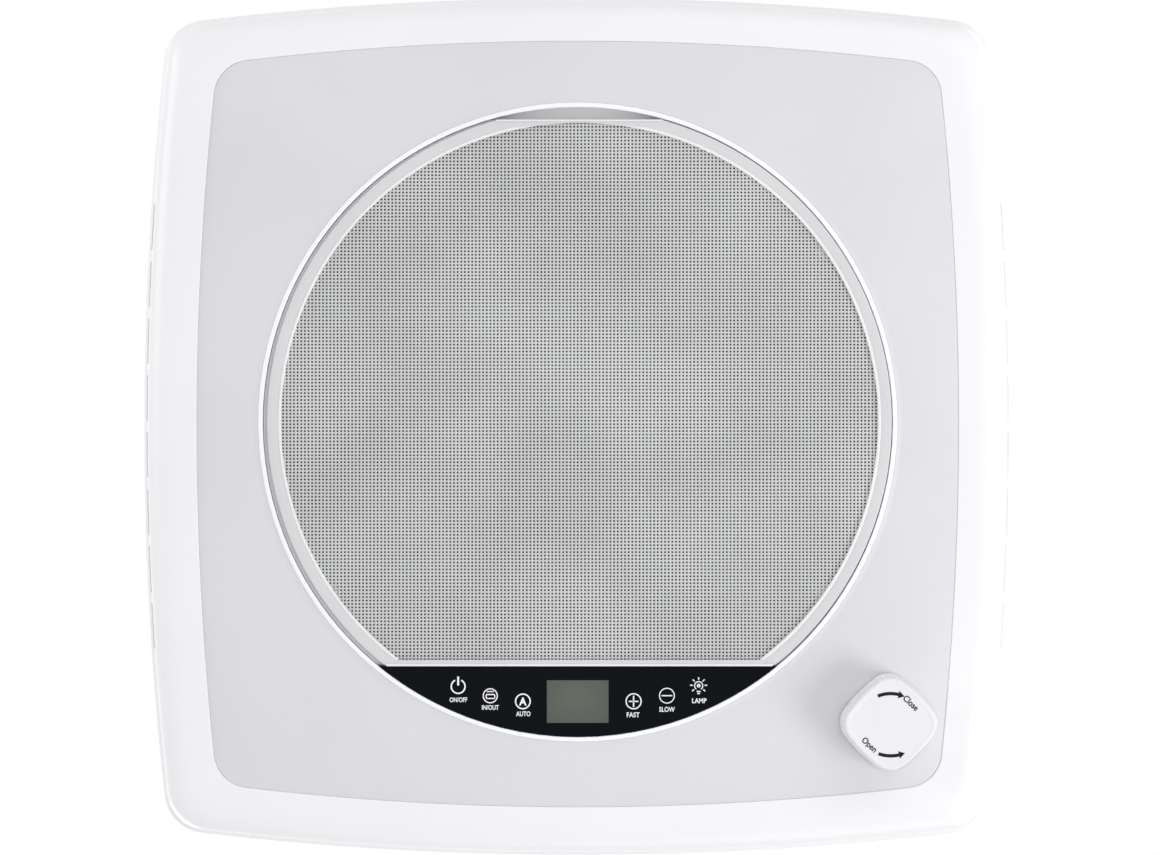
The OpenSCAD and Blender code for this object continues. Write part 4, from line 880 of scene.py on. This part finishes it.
def knob_ring(scale, z, rib):
    """One level of the knob: a square with round corners set cornerwise, with rib ridges round it."""
    side = KNOB_A * scale
    points = bowed(side, side, KNOB_BOW * scale, KNOB_BOW * scale, KNOB_R * scale, n=26, m=74)
    total = len(points)
    lengths = [0.0]
    for i in range(total):
        p, q = points[i], points[(i + 1) % total]
        lengths.append(lengths[-1] + math.hypot(q[0] - p[0], q[1] - p[1]))
    out = []
    c, s = math.cos(math.radians(45)), math.sin(math.radians(45))
    for i, (x, y) in enumerate(points):
        wave = rib * (0.5 + 0.5 * math.cos(2 * math.pi * KNOB_RIBS * lengths[i] / lengths[-1]))
        r = math.hypot(x, y)
        k = (r - wave) / r
        u, v = x * k, y * k
        out.append((CRANK_X + u * c - v * s, CRANK_Y + u * s + v * c, z))
    return out


def make_knob():
    face = KNOB_BASE_Z - KNOB_H
    dish = [
        (0.02, 0.52), (0.2, 0.515), (0.45, 0.5), (0.68, 0.47), (0.78, 0.42), (0.82, 0.32), (0.845, 0.17),
        (0.864, 0.06), (0.88, 0.01), (0.9, 0.08), (0.915, 0.3), (0.926, 0.72), (0.933, 1.3), (0.937, 1.9),
    ]
    ribbed = [(0.94, 2.4), (0.955, 8), (0.975, 16), (0.993, 23.0)]
    foot = [(0.996, 23.4), (1.0, 23.8), (1.0, KNOB_H)]
    rings = []
    for rows, rib in ((dish, 0), (ribbed, KNOB_RIB), (foot, 0)):
        rings += [knob_ring(scale, face + h, rib) for scale, h in rows]
    obj = mesh_piece("knob_body", *loft_data(rings, caps=True), KNOB_WHITE, "crank", smooth=40)
    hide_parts("crank_knob")

    z = face + KNOB_PRINT_AT
    z0, z1 = z - KNOB_PRINT_T, z + KNOB_PRINT_T
    parts = []

    def kp(x, y):
        """A point of the photograph on the knob's face, in millimetres."""
        return CRANK_X - (x - KNOB_PX) * MM_PER_PX, CRANK_Y - (y - KNOB_PY) * MM_PER_PX

    def arrow(start, end, r, up):
        """An arc arrow between two points of the photograph, bulging up or down, head at the second."""
        width, head_half, head_len = 1.65, 1.9, 2.2
        (ax, ay), (bx, by) = kp(*start), kp(*end)
        mx = (ax + bx) / 2
        half = math.hypot(bx - ax, by - ay) / 2
        cy = (ay + by) / 2 - up * math.sqrt(r * r - half * half)
        a0 = math.atan2(ay - cy, ax - mx)
        a1 = math.atan2(by - cy, bx - mx)
        way = 1 if a1 > a0 else -1
        neck = a1 - way * head_len / r
        shaft = [a0 + (neck - a0) * k / 24 for k in range(25)]
        outer = circle(r + width / 2, shaft, mx, cy)
        inner = circle(r - width / 2, shaft, mx, cy)
        back = [neck - way * 0.2 / r]
        head = circle(r + head_half, back, mx, cy)
        head += circle(r, [a1 + way * 0.8 / r], mx, cy)
        head += circle(r - head_half, back, mx, cy)
        parts.append(flat_data(outer + head + inner[::-1], z0, z1))

    arrow(*UPPER_ARROW, 17.0, 1)
    arrow(*LOWER_ARROW, 18.5, -1)
    for text, (x, y, w, h) in KNOB_WORDS.items():
        w, h = w * MM_PER_PX, h * MM_PER_PX
        parts.append(word_data(text, *kp(x, y), z, w, h, turn=-43, bold=0.02, thick=KNOB_PRINT_T))
    obj = mesh_piece("knob_print", *join_data(*parts), PRINT_BLACK, "crank")


# lid

def lid_outline(d, z):
    return at(bowed(LID_A - d, LID_B - d, LID_BOW, LID_BOW, LID_R + 0.12 * d), z, dy=LID_SHIFT)


def square_outline(half, r, n=8):
    out = []
    for cx, cy, a in ((1, 1, 0), (-1, 1, 90), (-1, -1, 180), (1, -1, 270)):
        turns = [math.radians(a + 90 * k / n) for k in range(n + 1)]
        out += circle(r, turns, cx * (half - r), cy * (half - r))
    return out


def make_lid():
    """Shell with a rounded edge and a raised middle, and under it the rib, track pads and knuckles."""
    top = LID_TOP
    border = 58.0
    rise = LID_A - border
    outer = [
        (0.5, LID_Z), (0.12, LID_Z + 0.12), (0, LID_Z + 0.5), (0.15, LID_Z + 4), (0.6, LID_Z + 11),
        (1.2, top - 12), (1.75, top - 9), (2.5, top - 6.5), (3.7, top - 4.2), (5.5, top - 2.4),
        (7.9, top - 0.9), (11, top - 0.15), (14, top), (border - 4, top), (border, top + 0.12),
        (border + 0.035 * rise, top + 0.12 * LID_DOME),
        (border + 0.1 * rise, top + 0.35 * LID_DOME), (border + 0.18 * rise, top + 0.57 * LID_DOME),
        (border + 0.29 * rise, top + 0.78 * LID_DOME), (border + 0.41 * rise, top + 0.9 * LID_DOME),
        (border + 0.55 * rise, top + 0.97 * LID_DOME), (border + 0.69 * rise, top + LID_DOME),
    ]
    inner = [(d + LID_WALL, z - LID_WALL) for d, z in outer[4:]]
    inner = [(2.5, LID_Z), (2.88, LID_Z + 0.12), (3.0, LID_Z + 0.5), (3.15, LID_Z + 4)] + inner[1:]
    rings = [lid_outline(d, z) for d, z in reversed(inner)] + [lid_outline(d, z) for d, z in outer]
    shell = mesh_piece("lid_shell", *loft_data(rings, caps=True), SMOKE, "lid", smooth=35)
    notches = []
    for x in (-HINGE_AT, HINGE_AT):
        for side in (-1, 1):
            mid = x + side * (KNUCKLE_W / 2 + EAR_SLOT_HALF)
            lo = (mid - EAR_SLOT_HALF, HINGE_Y + 2, LID_Z - 1)
            notches.append(box_data(lo, (mid + EAR_SLOT_HALF, HINGE_Y + 60, HINGE_Z + 4)))
        lo = (x - KNUCKLE_W, HINGE_Y + 7, LID_Z - 1)
        notches.append(box_data(lo, (x + KNUCKLE_W, HINGE_Y + 61, HINGE_Z + 4.01)))
    for notch in notches:
        cut(shell, notch)

    under = LID_TOP - LID_WALL
    rib_out, rib_in = (RIB_LINE + RIB_T) / 2, (RIB_LINE - RIB_T) / 2
    rings = [
        at(square_outline(rib_out, 14), under + 0.8), at(square_outline(rib_out, 14), RIB_Z + 0.4),
        at(square_outline(rib_out - 0.35, 13.65), RIB_Z), at(square_outline(rib_in + 0.35, 11.35), RIB_Z),
        at(square_outline(rib_in, 11), RIB_Z + 0.4), at(square_outline(rib_in, 11), under + 0.8),
    ]
    rib = mesh_piece("lid_rib", *loft_data(rings, closed=True), SMOKE, "lid")

    pads = []
    for y in PAD_PLACES:
        lo = (-PAD_X - PAD_W / 2, y - PAD_L / 2, TRACK_TOP)
        pads.append(box_data(lo, (-PAD_X + PAD_W / 2, y + PAD_L / 2, under + 0.8), r=1.2))
    pad = mesh_piece("lid_pads", *join_data(*pads), SMOKE, "lid")
    for y in PAD_PLACES:
        cut(pad, cylinder_data(PILOT_R, TRACK_TOP - 1, under - 0.5, -PAD_X, y, n=24))

    knuckles = []
    for x in (-HINGE_AT, HINGE_AT):
        profile = circle(KNUCKLE_R, [math.radians(a) for a in range(180, 361, 9)], HINGE_Y, HINGE_Z)
        back = HINGE_Y + KNUCKLE_R + 1
        profile += [(back, HINGE_Z), (back, under + 0.8), (HINGE_Y - KNUCKLE_R, under + 0.8)]
        rings = []
        half = KNUCKLE_W / 2
        for dx, scale in ((-half, 0.94), (-half + 0.35, 1), (half - 0.35, 1), (half, 0.94)):
            ring = []
            for y, z in profile:
                level = z if z > HINGE_Z + 1 else HINGE_Z + (z - HINGE_Z) * scale
                ring.append((x + dx, HINGE_Y + (y - HINGE_Y) * scale, level))
            rings.append(ring)
        knuckles.append(loft_data(rings, caps=True))
    knuckle = mesh_piece("lid_knuckles", *join_data(*knuckles), SMOKE, "lid")
    for x in (-HINGE_AT, HINGE_AT):
        bore = cylinder_data(PIN_R + 0.08, -20, 20, n=40)
        place = Matrix.Translation((x, HINGE_Y, HINGE_Z)) @ Matrix.Rotation(math.radians(90), 4, "Y")
        cut(knuckle, moved(bore, place))
    for obj in (shell, rib, pad, knuckle):
        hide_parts("lid")


# stage, light and camera

def make_stage():
    size = 8.0
    z = cad_box[0][2] - 0.0004
    mesh = bpy.data.meshes.new("floor")
    corners = [(-size, -size, 0), (size, -size, 0), (size, size, 0), (-size, size, 0)]
    mesh.from_pydata(corners, [], [(0, 1, 2, 3)])
    floor = bpy.data.objects.new("floor", mesh)
    floor.location.z = z
    bpy.context.scene.collection.objects.link(floor)
    mat = bpy.data.materials.new("floor_pale")
    mat.use_nodes = True
    tree = mat.node_tree
    tree.nodes.clear()
    out = tree.nodes.new("ShaderNodeOutputMaterial")
    mix = tree.nodes.new("ShaderNodeMixShader")
    clear = tree.nodes.new("ShaderNodeBsdfTransparent")
    pale = tree.nodes.new("ShaderNodeBsdfDiffuse")
    pale.inputs["Color"].default_value = (0.90, 0.90, 0.90, 1)
    path = tree.nodes.new("ShaderNodeLightPath")
    side = tree.nodes.new("ShaderNodeNewGeometry")
    front = tree.nodes.new("ShaderNodeMath")
    front.operation = "SUBTRACT"
    front.use_clamp = True
    tree.links.new(path.outputs["Is Camera Ray"], front.inputs[0])
    tree.links.new(side.outputs["Backfacing"], front.inputs[1])
    tree.links.new(front.outputs["Value"], mix.inputs["Fac"])
    tree.links.new(clear.outputs["BSDF"], mix.inputs[1])
    tree.links.new(mix.outputs["Shader"], out.inputs["Surface"])

    # far from the object the floor turns into the white of the background
    far = tree.nodes.new("ShaderNodeEmission")
    far.inputs["Color"].default_value = (1, 1, 1, 1)
    near = tree.nodes.new("ShaderNodeTexGradient")
    near.gradient_type = "SPHERICAL"
    mapping = tree.nodes.new("ShaderNodeMapping")
    mapping.inputs["Scale"].default_value = (0.45, 0.45, 1.0)
    coords = tree.nodes.new("ShaderNodeTexCoord")
    fade = tree.nodes.new("ShaderNodeMapRange")
    fade.inputs["From Min"].default_value = 0.1
    fade.inputs["From Max"].default_value = 0.75
    fade.interpolation_type = "SMOOTHSTEP"
    blend = tree.nodes.new("ShaderNodeMixShader")
    tree.links.new(coords.outputs["Object"], mapping.inputs["Vector"])
    tree.links.new(mapping.outputs["Vector"], near.inputs["Vector"])
    tree.links.new(near.outputs["Fac"], fade.inputs["Value"])
    tree.links.new(fade.outputs["Result"], blend.inputs["Fac"])
    tree.links.new(far.outputs["Emission"], blend.inputs[1])
    tree.links.new(pale.outputs["BSDF"], blend.inputs[2])
    tree.links.new(blend.outputs["Shader"], mix.inputs[2])
    mesh.materials.append(mat)


def make_world():
    world = bpy.data.worlds.new("studio")
    bpy.context.scene.world = world
    world.use_nodes = True
    tree = world.node_tree
    tree.nodes.clear()
    out = tree.nodes.new("ShaderNodeOutputWorld")
    mix = tree.nodes.new("ShaderNodeMixShader")
    soft = tree.nodes.new("ShaderNodeBackground")
    soft.inputs["Color"].default_value = (1, 1, 1, 1)
    soft.inputs["Strength"].default_value = SOFT_LIGHT
    seen = tree.nodes.new("ShaderNodeBackground")
    seen.inputs["Color"].default_value = (1, 1, 1, 1)
    seen.inputs["Strength"].default_value = 1.0
    path = tree.nodes.new("ShaderNodeLightPath")
    first = tree.nodes.new("ShaderNodeMath")
    first.operation = "MAXIMUM"
    second = tree.nodes.new("ShaderNodeMath")
    second.operation = "MAXIMUM"
    tree.links.new(path.outputs["Is Camera Ray"], first.inputs[0])
    tree.links.new(path.outputs["Is Glossy Ray"], first.inputs[1])
    tree.links.new(first.outputs["Value"], second.inputs[0])
    tree.links.new(path.outputs["Is Transmission Ray"], second.inputs[1])
    tree.links.new(second.outputs["Value"], mix.inputs["Fac"])
    tree.links.new(soft.outputs["Background"], mix.inputs[1])
    tree.links.new(seen.outputs["Background"], mix.inputs[2])
    tree.links.new(mix.outputs["Shader"], out.inputs["Surface"])


def area_light(name, place, aim, size, watts):
    light = bpy.data.lights.new(name, "AREA")
    light.shape = "SQUARE"
    light.size = size
    light.energy = watts
    obj = bpy.data.objects.new(name, light)
    bpy.context.scene.collection.objects.link(obj)
    obj.location = place
    obj.rotation_euler = (Vector(aim) - Vector(place)).to_track_quat("-Z", "Y").to_euler()


def make_lights():
    area_light("key_below", (-1.2, -0.6, -1.1), (0, 0, -0.07), 0.7, 8.8)
    area_light("fill_below", (-0.9, 1.2, -1.2), (0, 0, -0.07), 1.8, 9.3)
    area_light("graze_low", (-0.4, -2.0, -0.55), (0, 0, -0.07), 1.2, 6)
    area_light("graze_left", (2.1, 0.6, -0.5), (0, 0, -0.07), 1.2, 15)
    area_light("key_above", (1.6, -1.7, 2.2), (0, 0, 0.05), 1.4, 30)
    area_light("fill_above", (-1.8, 1.2, 1.6), (0, 0, 0.05), 1.4, 12)


def make_camera():
    data = bpy.data.cameras.new("camera")
    data.sensor_width = 36.0
    data.lens = data.sensor_width * CAMERA_FAR / PICTURE_W
    data.clip_end = 50
    camera = bpy.data.objects.new("camera", data)
    bpy.context.scene.collection.objects.link(camera)
    camera.location = (CAMERA_X * MM, CAMERA_Y * MM, (FACE_Z - CAMERA_FAR) * MM)
    camera.rotation_euler = (0, math.pi, 0)
    bpy.context.scene.camera = camera


make_trim()
make_ledge()
make_panel()
make_screen()
make_net()
make_signs()
make_knob()
make_lid()
make_stage()
make_world()
make_lights()
make_camera()
bpy.context.scene.view_settings.view_transform = "Standard"
